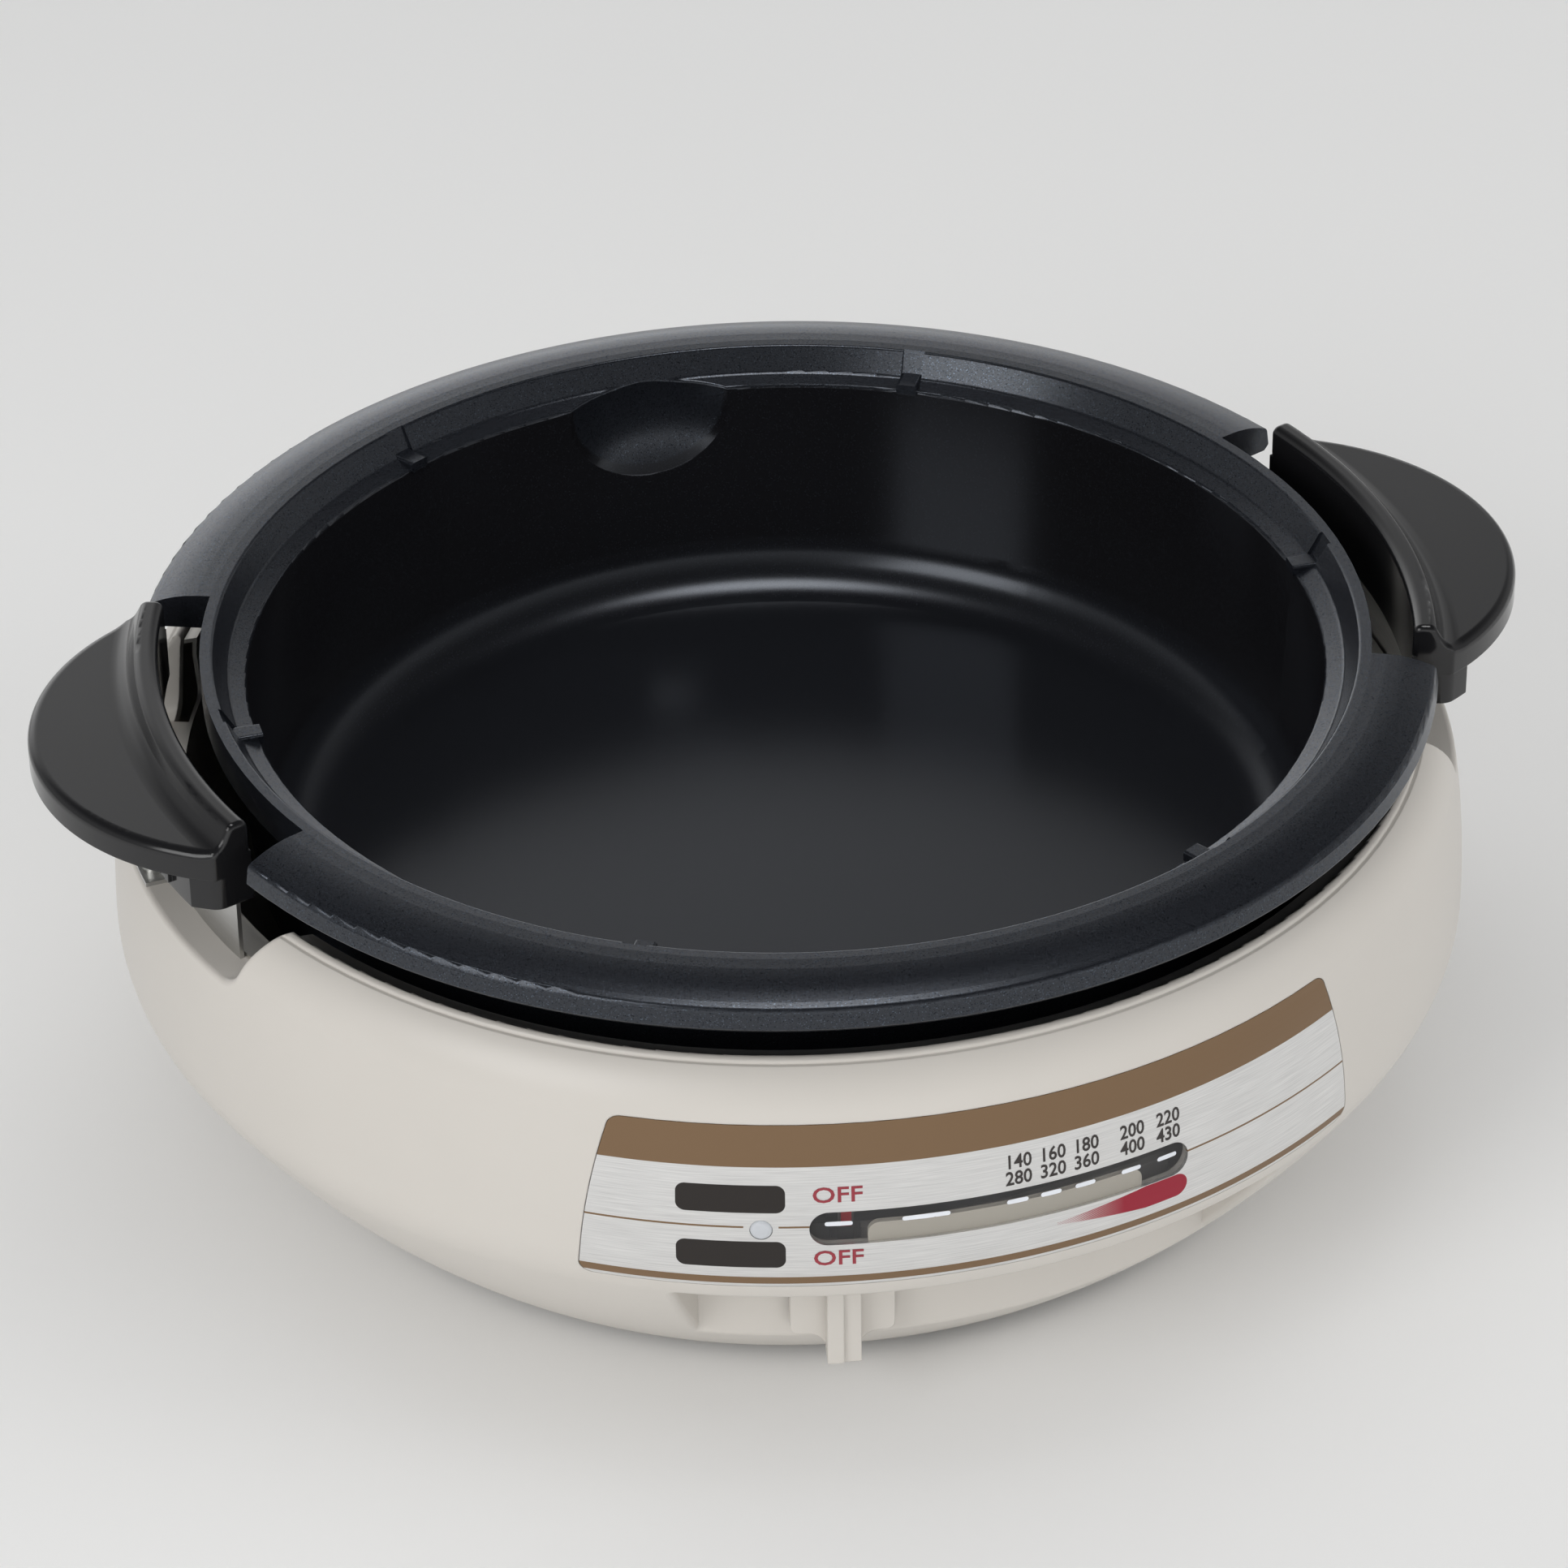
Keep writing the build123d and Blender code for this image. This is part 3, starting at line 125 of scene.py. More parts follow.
def makeRoom():    # plain light for matt surfaces, the room for shiny ones
    world = bpy.data.worlds.new("softRoom")
    world.use_nodes = True
    tree = world.node_tree
    sky = tree.nodes["Background"]
    sky.inputs["Color"].default_value = (*stage["skyColour"], 1.0)
    rays = put(tree, "ShaderNodeLightPath")
    parts = put(tree, "ShaderNodeSeparateXYZ")
    feed(tree, parts.inputs[0], put(tree, "ShaderNodeTexCoord").outputs["Generated"])
    x, y, z = parts.outputs
    wallTop, middleStart = room["middleHeights"]
    middle = room["middle"]
    low = remap(tree, z, wallTop, middleStart, room["horizon"] - middle, 0.0)
    high = remap(tree, z, middleStart, room["ceilingHeight"], middle, room["ceiling"])
    rearward = maths(tree, "MULTIPLY_ADD", maths(tree, "ABSOLUTE", x), -room["spread"], y)
    side = remap(tree, rearward, *room["sideEnds"], room["sideShare"], 1.0)
    rear = maths(tree, "MULTIPLY", maths(tree, "ADD", low, high), side)
    glow = remap(tree, z, *room["frontHeights"], room["frontGlow"], 0.0)
    glow = maths(tree, "MULTIPLY", glow, remap(tree, y, *room["frontDepths"], 1.0, 0.0))
    plain = maths(tree, "ADD", rear, glow)
    aim = Vector(room["boxAim"]).normalized()
    toward = maths(tree, "MULTIPLY", x, aim.x)
    toward = maths(tree, "MULTIPLY_ADD", y, aim.y, toward)
    toward = maths(tree, "MULTIPLY_ADD", z, aim.z, toward)
    box = remap(tree, toward, *room["boxEdges"], 0.0, room["boxBrightness"])
    mirrored = maths(tree, "ADD", plain, box)
    gap = maths(tree, "SUBTRACT", mirrored, stage["skyStrength"])
    glossy = maths(tree, "MULTIPLY", gap, rays.outputs["Is Glossy Ray"])
    feed(tree, sky.inputs["Strength"], maths(tree, "ADD", glossy, stage["skyStrength"]))
    bpy.context.scene.world = world


# small helpers for node trees
def put(tree, kind, **settings):
    node = tree.nodes.new(kind)
    for name, value in settings.items():
        setattr(node, name, value)
    return node


def feed(tree, socket, value):
    if isinstance(value, bpy.types.NodeSocket):
        tree.links.new(value, socket)
    elif value is not None:
        socket.default_value = value


def maths(tree, operation, first, second=None, third=None):
    node = put(tree, "ShaderNodeMath", operation=operation)
    for socket, value in zip(node.inputs, (first, second, third)):
        feed(tree, socket, value)
    return node.outputs[0]


def remap(tree, value, low, high, newLow, newHigh):
    node = put(tree, "ShaderNodeMapRange", clamp=True)
    for socket, given in zip(node.inputs, (value, low, high, newLow, newHigh)):
        feed(tree, socket, given)
    return node.outputs[0]


def mixColours(tree, factor, first, second):
    node = put(tree, "ShaderNodeMix", data_type="RGBA")
    feed(tree, node.inputs[0], factor)
    for socket, colour in ((node.inputs[6], first), (node.inputs[7], second)):
        feed(tree, socket, (*colour, 1.0) if isinstance(colour, tuple) else colour)
    return node.outputs[2]


def newGroup(name, takes, gives):
    group = bpy.data.node_groups.new(name, "ShaderNodeTree")
    for label in takes:
        kind = "NodeSocketVector" if label == "Place" else "NodeSocketFloat"
        group.interface.new_socket(label, in_out="INPUT", socket_type=kind)
    for label in gives:
        group.interface.new_socket(label, in_out="OUTPUT", socket_type="NodeSocketFloat")
    return group, put(group, "NodeGroupInput").outputs, put(group, "NodeGroupOutput").inputs


def placeGroup(tree, group, *values):
    node = put(tree, "ShaderNodeGroup", node_tree=group)
    for socket, value in zip(node.inputs, values):
        feed(tree, socket, value)
    return node.outputs


def noiseAt(tree, place, scale, detail=2.0, roughness=0.5):
    node = put(tree, "ShaderNodeTexNoise")
    feed(tree, node.inputs["Vector"], place)
    feed(tree, node.inputs["Scale"], scale)
    node.inputs["Detail"].default_value = detail
    node.inputs["Roughness"].default_value = roughness
    return node.outputs[0]


# shared effects
frontTurn = math.radians(-88.5)    # middle of the panel
faceRadius = 180.0                 # millimetres, where lengths along the panel are true
noiseSpan = (0.3, 0.7)             # where most of a noise's values lie
maskEdge = 0.05                    # millimetres, soft edge of a printed shape


def makeAroundAxis():    # where a point lies round the object's upright axis, in millimetres
    group, takes, gives = newGroup("aroundAxis", ["Place"], ["Along", "Up", "Radius"])
    parts = put(group, "ShaderNodeSeparateXYZ")
    feed(group, parts.inputs[0], takes["Place"])
    x, y, z = parts.outputs
    offset = maths(group, "SUBTRACT", maths(group, "ARCTAN2", y, x), frontTurn)
    square = maths(group, "MULTIPLY_ADD", x, x, maths(group, "MULTIPLY", y, y))
    reach = maths(group, "SQRT", square)
    feed(group, gives["Along"], maths(group, "MULTIPLY", offset, faceRadius))
    feed(group, gives["Up"], maths(group, "DIVIDE", z, mm))
    feed(group, gives["Radius"], maths(group, "DIVIDE", reach, mm))
    return group


def makeSkin():    # fine grain and broad patches
    labels = ["Place", "Grain Size", "Patch Size"]
    group, takes, gives = newGroup("skin", labels, ["Grain", "Patch"])
    grainScale = maths(group, "DIVIDE", 1.0 / mm, takes["Grain Size"])
    patchScale = maths(group, "DIVIDE", 1.0 / mm, takes["Patch Size"])
    feed(group, gives["Grain"], noiseAt(group, takes["Place"], grainScale, 3.0, 0.6))
    feed(group, gives["Patch"], noiseAt(group, takes["Place"], patchScale))
    return group


def makeBrushing():    # long lines; First runs along them, the others across, in millimetres
    labels = ["First", "Second", "Third", "Pitch"]
    group, takes, gives = newGroup("brushing", labels, ["Lines", "Streaks"])
    # stretch along the line, and width as a share of the pitch
    for name, stretch, coarse in (("Lines", 0.02, 1.0), ("Streaks", 0.006, 5.0)):
        pitch = maths(group, "MULTIPLY", takes["Pitch"], coarse)
        place = put(group, "ShaderNodeCombineXYZ")
        first = maths(group, "MULTIPLY", takes["First"], stretch)
        feed(group, place.inputs[0], maths(group, "DIVIDE", first, pitch))
        feed(group, place.inputs[1], maths(group, "DIVIDE", takes["Second"], pitch))
        feed(group, place.inputs[2], maths(group, "DIVIDE", takes["Third"], pitch))
        feed(group, gives[name], noiseAt(group, place.outputs[0], 1.0, 2.0, 0.6))
    return group


def makeFlakes():    # scattered bright specks in a coating
    group, takes, gives = newGroup("flakes", ["Place", "Flake Size", "Share"], ["Flake", "Tone"])
    cells = put(group, "ShaderNodeTexVoronoi", feature="F1")
    feed(group, cells.inputs["Vector"], takes["Place"])
    feed(group, cells.inputs["Scale"], maths(group, "DIVIDE", 1.0 / mm, takes["Flake Size"]))
    tones = put(group, "ShaderNodeSeparateColor")
    feed(group, tones.inputs[0], cells.outputs["Color"])
    least = maths(group, "SUBTRACT", 1.0, takes["Share"])
    feed(group, gives["Flake"], maths(group, "GREATER_THAN", tones.outputs[0], least))
    feed(group, gives["Tone"], tones.outputs[1])
    return group


def makeRoundedBox():    # mask of a box with round corners on the panel, millimetres
    labels = ["Along", "Up", "Middle Along", "Middle Up", "Half Along", "Half Up", "Corner"]
    group, takes, gives = newGroup("roundedBox", labels, ["Mask"])
    reaches = []
    for way in ("Along", "Up"):
        offset = maths(group, "SUBTRACT", takes[way], takes["Middle " + way])
        inside = maths(group, "SUBTRACT", takes["Half " + way], takes["Corner"])
        past = maths(group, "SUBTRACT", maths(group, "ABSOLUTE", offset), inside)
        reaches.append(maths(group, "MAXIMUM", past, 0.0))
    wide, tall = reaches
    square = maths(group, "MULTIPLY_ADD", wide, wide, maths(group, "MULTIPLY", tall, tall))
    beyond = maths(group, "SUBTRACT", maths(group, "SQRT", square), takes["Corner"])
    feed(group, gives["Mask"], remap(group, beyond, -maskEdge, maskEdge, 1.0, 0.0))
    return group


aroundAxis = makeAroundAxis()
skin = makeSkin()
brushing = makeBrushing()
flakes = makeFlakes()
roundedBox = makeRoundedBox()


# materials
def newMaterial(name, **sockets):
    material = bpy.data.materials.new(name)
    material.use_nodes = True
    tree = material.node_tree
    shader = tree.nodes["Principled BSDF"]
    for label, value in sockets.items():
        socket = shader.inputs[label.replace("_", " ")]
        socket.default_value = (*value, 1.0) if isinstance(value, tuple) else value
    place = put(tree, "ShaderNodeTexCoord").outputs["Object"]
    return material, tree, shader, place


def bumpFrom(tree, shader, height, depth, softEdge=0.0):    # millimetres
    bump = put(tree, "ShaderNodeBump")
    bump.inputs["Strength"].default_value = 1.0
    bump.inputs["Distance"].default_value = depth * mm
    if softEdge:
        edges = put(tree, "ShaderNodeBevel", samples=4)
        edges.inputs["Radius"].default_value = softEdge * mm
        feed(tree, bump.inputs["Normal"], edges.outputs[0])
    feed(tree, bump.inputs["Height"], height)
    feed(tree, shader.inputs["Normal"], bump.outputs[0])


def shade(colour, factor):
    return tuple(min(1.0, part * factor) for part in colour)


finishes = {
    # slot: colour, roughness, metallic, grain size, grain depth, patch size,
    # colour change, roughness change
    "body_plastic": ((0.630, 0.598, 0.553), 0.36, 0.0, 0.50, 0.006, 45.0, 0.025, 0.05),
    "cover_plastic": ((0.085, 0.083, 0.080), 0.55, 0.0, 0.45, 0.030, 30.0, 0.10, 0.08),
    "foot_rubber": ((0.030, 0.030, 0.030), 0.80, 0.0, 0.35, 0.025, 12.0, 0.20, 0.08),
    "post_plastic": ((0.28, 0.20, 0.13), 0.50, 0.0, 0.40, 0.030, 15.0, 0.12, 0.08),
    "seal_ceramic": ((0.76, 0.73, 0.66), 0.70, 0.0, 0.30, 0.040, 8.0, 0.08, 0.10),
    "element_steel": ((0.20, 0.185, 0.17), 0.48, 0.9, 0.30, 0.020, 18.0, 0.35, 0.15),
    "spring_steel": ((0.48, 0.48, 0.47), 0.30, 1.0, 0.20, 0.010, 10.0, 0.10, 0.10),
    "thermostat_resin": ((0.22, 0.13, 0.08), 0.50, 0.0, 0.45, 0.030, 12.0, 0.15, 0.10),
    "fuse_body": ((0.74, 0.70, 0.58), 0.45, 0.0, 0.30, 0.020, 6.0, 0.08, 0.10),
    "lead_white": ((0.72, 0.72, 0.70), 0.55, 0.0, 0.25, 0.015, 20.0, 0.08, 0.08),
    "lead_dark": ((0.045, 0.045, 0.045), 0.55, 0.0, 0.25, 0.015, 20.0, 0.15, 0.08),
    "lead_red": ((0.40, 0.035, 0.028), 0.55, 0.0, 0.25, 0.015, 20.0, 0.12, 0.08),
    "socket_plastic": ((0.040, 0.040, 0.040), 0.50, 0.0, 0.45, 0.030, 12.0, 0.15, 0.08),
    "pointer_red": ((0.58, 0.020, 0.030), 0.35, 0.0, 0.30, 0.010, 8.0, 0.08, 0.08),
    "handle_plastic": ((0.0095, 0.0095, 0.0105), 0.13, 0.0, 0.55, 0.006, 40.0, 0.15, 0.05),
}
softEdges = {"body_plastic": 0.5, "handle_plastic": 0.5}    # millimetres


def makeFinish(name, colour, rough, metallic, grainSize, grainDepth, patchSize,
               toneChange, roughChange):
    material, tree, shader, place = newMaterial(name, Metallic=metallic)
    grain, patch = placeGroup(tree, skin, place, grainSize, patchSize)
    tone = mixColours(tree, patch, shade(colour, 1 - toneChange), shade(colour, 1 + toneChange))
    feed(tree, shader.inputs["Base Color"], tone)
    half = roughChange / 2
    soft = remap(tree, patch, *noiseSpan, rough - half, rough + half)
    feed(tree, shader.inputs["Roughness"], soft)
    bumpFrom(tree, shader, grain, grainDepth, softEdges.get(name, 0.0))
    return material


metals = {
    # slot: colour, roughness, pitch of the marks, depth of the marks
    "screw_steel": ((0.56, 0.56, 0.54), 0.32, 0.10, 0.004),
    "guard_steel": ((0.66, 0.64, 0.60), 0.38, 0.25, 0.003),
    "reflector_aluminium": ((0.76, 0.76, 0.77), 0.22, 0.30, 0.004),
    "clip_steel": ((0.54, 0.54, 0.53), 0.36, 0.15, 0.005),
    "cap_aluminium": ((0.62, 0.62, 0.62), 0.34, 0.12, 0.006),
    "pin_brass": ((0.72, 0.50, 0.20), 0.28, 0.10, 0.004),
}


metalWear = {    # shares of the colour and the roughness, from least to most
    "tones": (0.93, 1.05),
    "rough": (0.80, 1.25),
    "sizes": (0.3, 14.0),       # grain and patch, millimetres
}


def turnedMarks(tree, place, pitch):    # marks that run round the upright axis
    along, up, radius = placeGroup(tree, aroundAxis, place)
    return placeGroup(tree, brushing, along, up, radius, pitch)


def makeMetal(name, colour, rough, pitch, depth):
    material, tree, shader, place = newMaterial(name, Metallic=1.0)
    lines, streaks = turnedMarks(tree, place, pitch)
    patch = placeGroup(tree, skin, place, *metalWear["sizes"])["Patch"]
    dull, bright = metalWear["tones"]
    tone = mixColours(tree, patch, shade(colour, dull), shade(colour, bright))
    feed(tree, shader.inputs["Base Color"], tone)
    least, most = metalWear["rough"]
    soft = remap(tree, streaks, *noiseSpan, rough * least, rough * most)
    feed(tree, shader.inputs["Roughness"], soft)
    bumpFrom(tree, shader, lines, depth)
    return material


pan = {
    "coating": (0.0095, 0.0105, 0.0135),
    "insideCoating": (0.0060, 0.0055, 0.0060),
    "floorCoating": (0.0090, 0.0095, 0.0115),
    "flake": (0.105, 0.125, 0.155),
    "flakeSize": 0.24,
    "flakeShare": 0.18,
    "flakeInside": 0.12,     # share of the flakes that shows on the cooking surface
    "flakeMetal": 0.85,
    "grainSize": 0.35,
    "patchSize": 60.0,
    "patchTone": (0.25, 1.6),    # how much, and how much lighter
    "grainRough": 0.10,
    "grainDepth": 0.006,
    "toneHeights": (0.6, 0.05),  # outside and inside
    "turnedPitch": 0.35,
    "turnedRough": 0.20,
    "gloss": 0.62,
    "glossTint": (0.84, 0.90, 1.0),
    "rough": 0.25,
    "wallRough": 0.13,
    "floorRough": 0.24,
    "bareMetal": (0.60, 0.60, 0.60),
    # edges of each surface: from, to, millimetres
    "ledgeRadii": (142.4, 142.8),     # inside this and below the ledge lies the cooking surface
    "ledgeHeights": (128.1, 128.7),
    "floorHeights": (76.0, 82.0),
    "bareHeights": (64.25, 64.35),    # the turned underside
}


def makeCoating(name):
    material, tree, shader, place = newMaterial(name, Metallic=0.0)
    along, up, radius = placeGroup(tree, aroundAxis, place)
    grain, patch = placeGroup(tree, skin, place, pan["grainSize"], pan["patchSize"])
    flake, tone = placeGroup(tree, flakes, place, pan["flakeSize"], pan["flakeShare"])
    lines, streaks = placeGroup(tree, brushing, along, up, radius, pan["turnedPitch"])
    # which surface a point is on
    within = remap(tree, radius, *pan["ledgeRadii"], 1.0, 0.0)
    below = remap(tree, up, *pan["ledgeHeights"], 1.0, 0.0)
    inside = maths(tree, "MULTIPLY", within, below)
    low = maths(tree, "MULTIPLY", inside, remap(tree, up, *pan["floorHeights"], 1.0, 0.0))
    bare = remap(tree, up, *pan["bareHeights"], 1.0, 0.0)
    # colour
    speck = maths(tree, "MULTIPLY", flake, remap(tree, inside, 0.0, 1.0, 1.0, pan["flakeInside"]))
    speck = maths(tree, "MULTIPLY", speck, maths(tree, "SUBTRACT", 1.0, bare))
    share, lighter = pan["patchTone"]
    coat = mixColours(tree, inside, pan["coating"], pan["insideCoating"])
    coat = mixColours(tree, low, coat, pan["floorCoating"])
    patches = maths(tree, "MULTIPLY", patch, share)
    coat = mixColours(tree, patches, coat, shade(pan["coating"], lighter))
    sparkle = maths(tree, "MULTIPLY", speck, maths(tree, "MULTIPLY", tone, tone))
    coat = mixColours(tree, sparkle, coat, pan["flake"])
    shader.inputs["Specular IOR Level"].default_value = pan["gloss"]
    shader.inputs["Specular Tint"].default_value = (*pan["glossTint"], 1.0)
    feed(tree, shader.inputs["Base Color"], mixColours(tree, bare, coat, pan["bareMetal"]))
    metal = maths(tree, "MULTIPLY", speck, pan["flakeMetal"])
    feed(tree, shader.inputs["Metallic"], maths(tree, "MAXIMUM", bare, metal))
    # roughness
    rough = remap(tree, inside, 0.0, 1.0, pan["rough"], pan["wallRough"])
    rough = maths(tree, "MULTIPLY_ADD", low, pan["floorRough"] - pan["wallRough"], rough)
    stray = maths(tree, "SUBTRACT", grain, 0.5)
    rough = maths(tree, "MULTIPLY_ADD", stray, pan["grainRough"], rough)
    circling = maths(tree, "MULTIPLY", maths(tree, "SUBTRACT", streaks, 0.5), bare)
    rough = maths(tree, "MULTIPLY_ADD", circling, pan["turnedRough"], rough)
    feed(tree, shader.inputs["Roughness"], rough)
    # bump
    turned = maths(tree, "MULTIPLY", lines, bare)
    toneHeight = remap(tree, inside, 0.0, 1.0, *pan["toneHeights"])
    height = maths(tree, "MULTIPLY_ADD", tone, toneHeight, grain)
    bumpFrom(tree, shader, maths(tree, "ADD", height, turned), pan["grainDepth"])
    return material


panel = {
    "silver": (0.77, 0.765, 0.755),
    "silverTones": (0.70, 1.26),
    "silverRough": (0.31, 0.43),
    "silverMetal": 0.85,
    "brushPitch": 0.30,
    "gloss": 0.3,
    "inkRough": 0.06,
    "inkHeight": 0.8,
    "depth": 0.003,
    "brown": (0.190, 0.117, 0.062),
    "dark": (0.022, 0.018, 0.016),
    "red": (0.30, 0.016, 0.034),
    "topBandEdge": (92.66, 92.74),
    "lineHeight": 75.6,
    "lineHalf": 0.28,
    "stripe": (57.9, 60.3),
    # label plates: middle along, middle up, half along, half up, corner
    "labels": ((-69.1, 83.7, 13.5, 3.95, 2.4), (-69.1, 67.4, 13.5, 3.95, 2.4)),
    "lampGap": (-61.6, 4.3),    # middle along and half width of the break in the line
    # red wedge: start, round end's middle, height, first and last half width
    "wedge": (12.6, 46.3, 66.5, 0.35, 3.3),
    "wedgeWiden": 9.0,          # it is at full width this far before the round end's middle
    "dotPitch": 0.62,
    "dotFade": 14.0,            # the dots have merged this far before it
    "dotLevels": (0.55, -1.1),
}


def makePanelFace(name):
    material, tree, shader, place = newMaterial(name)
    around = placeGroup(tree, aroundAxis, place)
    along, up = around["Along"], around["Up"]
    lines, streaks = placeGroup(tree, brushing, along, up, 0.0, panel["brushPitch"])
    # brown: top band, bottom stripe and the line on both sides of the slot
    band = remap(tree, up, *panel["topBandEdge"], 0.0, 1.0)
    low, high = panel["stripe"]
    stripe = maths(tree, "COMPARE", up, (low + high) / 2, (high - low) / 2)
    line = maths(tree, "COMPARE", up, panel["lineHeight"], panel["lineHalf"])
    lampGap = maths(tree, "COMPARE", along, *panel["lampGap"])
    line = maths(tree, "MULTIPLY", line, maths(tree, "SUBTRACT", 1.0, lampGap))
    brown = maths(tree, "MAXIMUM", maths(tree, "MAXIMUM", band, stripe), line)
    plates = [placeGroup(tree, roundedBox, along, up, *label)[0] for label in panel["labels"]]
    dark = maths(tree, "MAXIMUM", *plates)
    # red wedge, dotted where it is thin
    start, end, middle, thin, thick = panel["wedge"]
    beyond = maths(tree, "MAXIMUM", maths(tree, "SUBTRACT", along, end), 0.0)
    above = maths(tree, "SUBTRACT", up, middle)
    square = maths(tree, "MULTIPLY_ADD", beyond, beyond, maths(tree, "MULTIPLY", above, above))
    half = remap(tree, along, start, end - panel["wedgeWiden"], thin, thick)
    within = maths(tree, "LESS_THAN", maths(tree, "SQRT", square), half)
    shape = maths(tree, "MULTIPLY", within, maths(tree, "GREATER_THAN", along, start))
    wave = 2 * math.pi / panel["dotPitch"]
    columns = maths(tree, "SINE", maths(tree, "MULTIPLY", along, wave))
    rows = maths(tree, "SINE", maths(tree, "MULTIPLY", up, wave))
    dots = maths(tree, "MULTIPLY", columns, rows)
    level = remap(tree, along, start, end - panel["dotFade"], *panel["dotLevels"])
    red = maths(tree, "MULTIPLY", shape, maths(tree, "GREATER_THAN", dots, level))
    dull, bright = panel["silverTones"]
    silver = mixColours(tree, lines, shade(panel["silver"], dull), shade(panel["silver"], bright))
    colour = mixColours(tree, brown, silver, panel["brown"])
    colour = mixColours(tree, dark, colour, panel["dark"])
    colour = mixColours(tree, red, colour, panel["red"])
    feed(tree, shader.inputs["Base Color"], colour)
    ink = maths(tree, "MAXIMUM", maths(tree, "MAXIMUM", brown, dark), red)
    shader.inputs["Specular IOR Level"].default_value = panel["gloss"]
    feed(tree, shader.inputs["Metallic"], remap(tree, ink, 0.0, 1.0, panel["silverMetal"], 0.0))
    rough = remap(tree, streaks, *noiseSpan, *panel["silverRough"])
    rough = maths(tree, "MULTIPLY_ADD", ink, panel["inkRough"], rough)
    feed(tree, shader.inputs["Roughness"], rough)
    height = maths(tree, "MULTIPLY_ADD", ink, panel["inkHeight"], lines)
    bumpFrom(tree, shader, height, panel["depth"])
    return material


clear = {
    # slot: colour, roughness, alpha, transmission
    "window_smoke": ((0.150, 0.150, 0.156), 0.05, 0.16, 0.0),
    "lamp_lens": ((0.80, 0.83, 0.87), 0.30, 1.0, 0.35),
    "lamp_glass": ((0.90, 0.62, 0.42), 0.08, 1.0, 0.60),
}
clearSkin = {
    "sizes": (0.4, 18.0),       # grain and patch, millimetres
    "tones": (0.92, 1.08),
    "roughChange": 0.04,
    "depth": 0.002,
}
paintedGuideLight = {    # painted light: a pale band on the window's lower half that stands in for the guide behind it as if it were lit, while the real guide stays in shade
    "colour": (0.50, 0.47, 0.41),
    # middle along, middle up, half along, half up, corner, millimetres
    "box": (0.6, 71.5, 36.0, 3.9, 3.0),
    "alpha": 0.62,
}


def makeClear(name, colour, rough, alpha, transmission):
    material, tree, shader, place = newMaterial(name, Alpha=alpha, Transmission_Weight=transmission)
    grain, patch = placeGroup(tree, skin, place, *clearSkin["sizes"])
    dull, bright = clearSkin["tones"]
    tone = mixColours(tree, patch, shade(colour, dull), shade(colour, bright))
    # painted light: the window's lower half gets a pale band standing in for the lit guide behind
    # it, and is less see-through there
    if name == "window_smoke":
        around = placeGroup(tree, aroundAxis, place)
        paintedGuideMask = placeGroup(tree, roundedBox, around["Along"], around["Up"], *paintedGuideLight["box"])[0]
        tone = mixColours(tree, paintedGuideMask, tone, paintedGuideLight["colour"])
        feed(tree, shader.inputs["Alpha"], remap(tree, paintedGuideMask, 0.0, 1.0, alpha, paintedGuideLight["alpha"]))
    feed(tree, shader.inputs["Base Color"], tone)
    most = rough + clearSkin["roughChange"]
    feed(tree, shader.inputs["Roughness"], remap(tree, patch, *noiseSpan, rough, most))
    bumpFrom(tree, shader, grain, clearSkin["depth"])
    return material


inks = {
    "printBlack": (0.030, 0.024, 0.022),
    "printRed": (0.30, 0.030, 0.045),
    "printWhite": (0.80, 0.83, 0.88),
}
inkSkin = {
    "sizes": (0.25, 6.0),       # grain and patch, millimetres
    "tones": (0.9, 1.1),
    "rough": (0.38, 0.48),
    "depth": 0.004,
}


def makeInk(name):
    material, tree, shader, place = newMaterial(name)
    grain, patch = placeGroup(tree, skin, place, *inkSkin["sizes"])
    dull, bright = inkSkin["tones"]
    tone = mixColours(tree, patch, shade(inks[name], dull), shade(inks[name], bright))
    feed(tree, shader.inputs["Base Color"], tone)
    feed(tree, shader.inputs["Roughness"], remap(tree, patch, *noiseSpan, *inkSkin["rough"]))
    bumpFrom(tree, shader, grain, inkSkin["depth"])
    return material


def makeFloor():
    material, tree, shader, place = newMaterial("paleFloor")
    grain, patch = placeGroup(tree, skin, place, *stage["floorGrain"])
    dull, bright = stage["floorTones"]
    colour = stage["floorColour"]
    tone = mixColours(tree, patch, shade(colour, dull), shade(colour, bright))
    feed(tree, shader.inputs["Base Color"], tone)
    feed(tree, shader.inputs["Roughness"], remap(tree, grain, 0.0, 1.0, *stage["floorRough"]))
    mesh = bmesh.new()
    bmesh.ops.create_grid(mesh, x_segments=2, y_segments=2, size=stage["floorReach"])
    floor = linkIn(bpy.data.objects.new("floor", bpy.data.meshes.new("floor")))
    mesh.to_mesh(floor.data)
    mesh.free()
    floor.data.materials.append(material)


def coverNodes():
    made = {name: makeFinish(name, *values) for name, values in finishes.items()}
    made.update({name: makeMetal(name, *values) for name, values in metals.items()})
    made.update({name: makeClear(name, *values) for name, values in clear.items()})
    made["pan_coating"] = makeCoating("pan_coating")
    made["panel_face"] = makePanelFace("panel_face")
    for part in frame["record"]["subparts"]:
        for slot in frame["nodes"][part["node"]].material_slots:
            slot.material = made[part["material_slot"]]
    return made


# printing on the panel and the window
face = {    # outline of the casing's front, millimetres
    "widest": 181.0,
    "widestHeight": 63.8,
    "bowUp": 222.65,
    "bowDown": 23.2,
}


def faceReach(height):
    bow = face["bowUp"] if height > face["widestHeight"] else face["bowDown"]
    return face["widest"] - bow + math.sqrt(bow ** 2 - (height - face["widestHeight"]) ** 2)


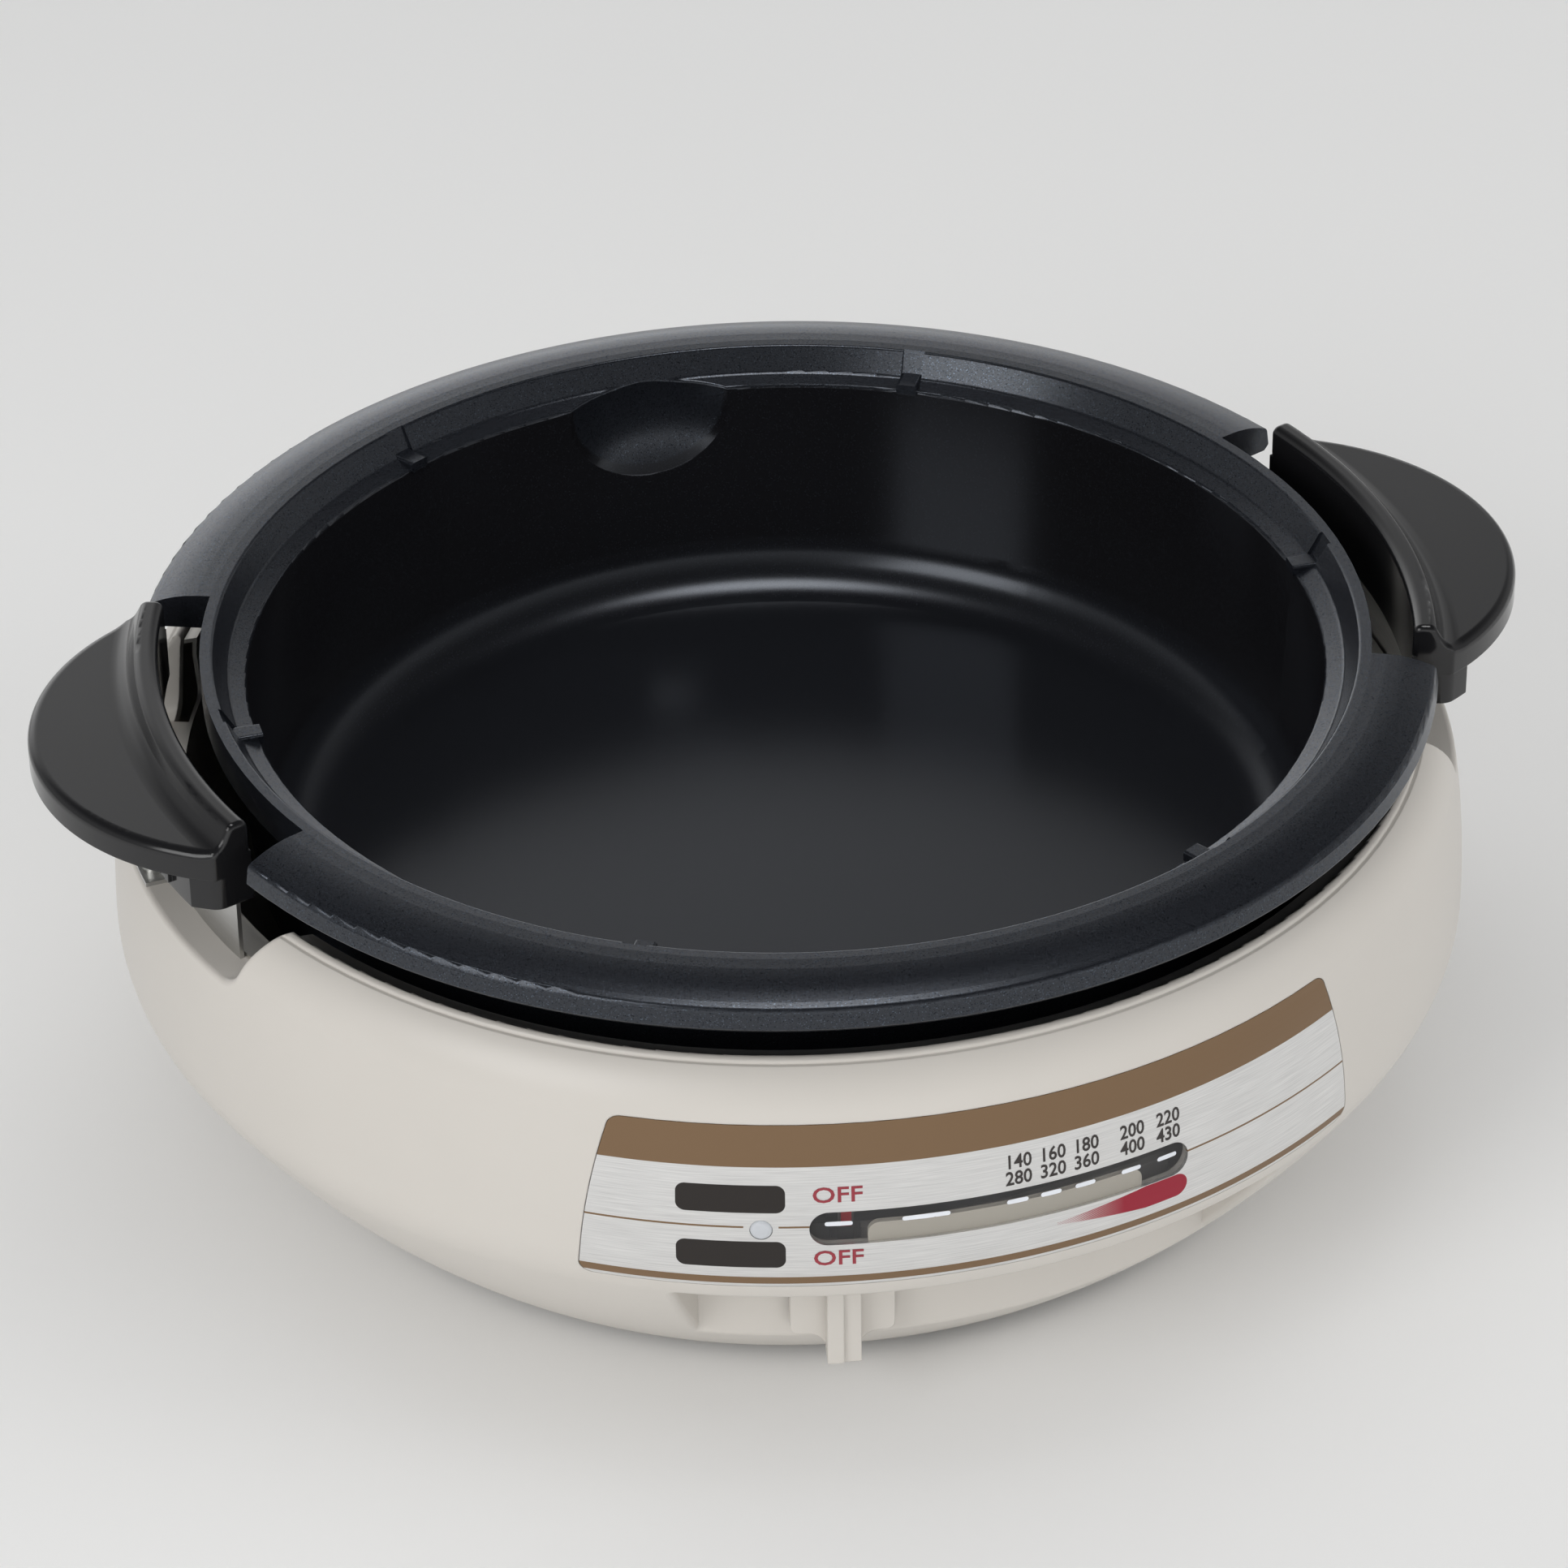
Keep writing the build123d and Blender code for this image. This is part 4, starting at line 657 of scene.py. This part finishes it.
scale = {
    "turns": (-87.66, -84.78, -81.90, -77.80, -74.47),
    "upper": ("140", "160", "180", "200", "220"),
    "lower": ("280", "320", "360", "400", "430"),
    "heights": (87.9, 83.2),
    "digitHeight": 3.95,
    "squeeze": 0.86,
    "weight": 0.07,
    "offPlaces": ((-102.13, 84.85), (-102.10, 66.3)),
    "offHeight": 4.5,
    "offSqueeze": 1.16,
    "capShare": 0.729,    # a capital's height in the font's own size
    "lift": 0.05,         # off the panel, millimetres
    "thickness": 0.03,
}


def printWords(name, words, ink):    # words: text, turn, height, letter height, squeeze
    whole = bmesh.new()
    for text, turn, height, letters, squeeze in words:
        curve = bpy.data.curves.new(name, "FONT")
        curve.body = text
        curve.align_x = "CENTER"
        curve.size = letters / scale["capShare"]
        curve.extrude = scale["thickness"]
        curve.offset = scale["weight"]
        curve.resolution_u = 3
        holder = bpy.data.objects.new(name, curve)
        flat = bpy.data.meshes.new_from_object(holder)
        bpy.data.objects.remove(holder)
        part = bmesh.new()
        part.from_mesh(flat)
        for vert in part.verts:
            level = height - letters / 2 + vert.co.y
            reach = faceReach(level) + scale["lift"] + vert.co.z
            angle = math.radians(turn) + vert.co.x * squeeze / faceReach(level)
            vert.co = Vector((reach * math.cos(angle), reach * math.sin(angle), level)) * mm
        part.to_mesh(flat)
        part.free()
        whole.from_mesh(flat)
    finishPiece(name, whole, ink)


def finishPiece(name, mesh, material):    # a printed or sprung piece on the base
    bmesh.ops.remove_doubles(mesh, verts=mesh.verts[:], dist=0.002 * mm)
    bmesh.ops.recalc_face_normals(mesh, faces=mesh.faces[:])
    piece = linkIn(bpy.data.objects.new(name, bpy.data.meshes.new(name)))
    mesh.to_mesh(piece.data)
    mesh.free()
    piece.data.materials.append(material)
    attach(piece, "base")
    return piece


def makeSpring(finish):    # a copy of the spring node on the base, in place of the node
    mesh = bmesh.new()
    mesh.from_mesh(frame["nodes"]["sensor_spring"].data)
    piece = finishPiece("capSpring", mesh, finish)
    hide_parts("sensor_spring")
    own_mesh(piece)


window = {
    # first and last turn of each dash
    "dashes": ((-103.15, -100.95), (-97.05, -93.2), (-88.6, -86.8), (-85.75, -84.0),
               (-82.8, -81.05), (-78.7, -76.95), (-75.4, -73.6)),
    "height": 75.7,
    "thick": 1.35,
    "inset": 0.85,    # of the window behind the panel
    "lift": 0.05,
    "thickness": 0.03,
}


def makeDashes(ink):
    whole = bmesh.new()
    half = window["thick"] / 2
    reach = faceReach(window["height"]) - window["inset"] + window["lift"]
    for first, last in window["dashes"]:
        length = math.radians(last - first) * reach - window["thick"]
        middle = math.radians((first + last) / 2)
        dash = bmesh.new()
        bmesh.ops.create_circle(dash, cap_ends=True, radius=half, segments=16)
        for way in (1, -1):    # pulls the two half circles apart
            end = [vert for vert in dash.verts if vert.co.x * way > 1e-6]
            bmesh.ops.translate(dash, verts=end, vec=(way * length / 2, 0, 0))
        parts = dash.verts[:] + dash.edges[:] + dash.faces[:]
        bmesh.ops.bisect_plane(dash, geom=parts, plane_co=(0, 0, 0), plane_no=(1, 0, 0))
        bmesh.ops.solidify(dash, geom=dash.faces[:], thickness=window["thickness"])
        for vert in dash.verts:
            angle = middle + vert.co.x / reach
            out = reach + vert.co.z
            level = window["height"] + vert.co.y
            vert.co = Vector((out * math.cos(angle), out * math.sin(angle), level)) * mm
        flat = bpy.data.meshes.new("dash")
        dash.to_mesh(flat)
        dash.free()
        whole.from_mesh(flat)
    finishPiece("windowDashes", whole, ink)


def makePrinting():
    made = {name: makeInk(name) for name in inks}
    words = []
    for row, height in zip(("upper", "lower"), scale["heights"]):
        for text, turn in zip(scale[row], scale["turns"]):
            words.append((text, turn, height, scale["digitHeight"], scale["squeeze"]))
    printWords("scaleNumbers", words, made["printBlack"])
    size, squeeze = scale["offHeight"], scale["offSqueeze"]
    offs = [("OFF", turn, height, size, squeeze) for turn, height in scale["offPlaces"]]
    printWords("offMarks", offs, made["printRed"])
    makeDashes(made["printWhite"])


makeView()
makeLamps()
makeRoom()
print("view and lamps ready")
makeFloor()
materials = coverNodes()
print("materials on the nodes")
makeSpring(materials["spring_steel"])
makePrinting()
print("printing ready")
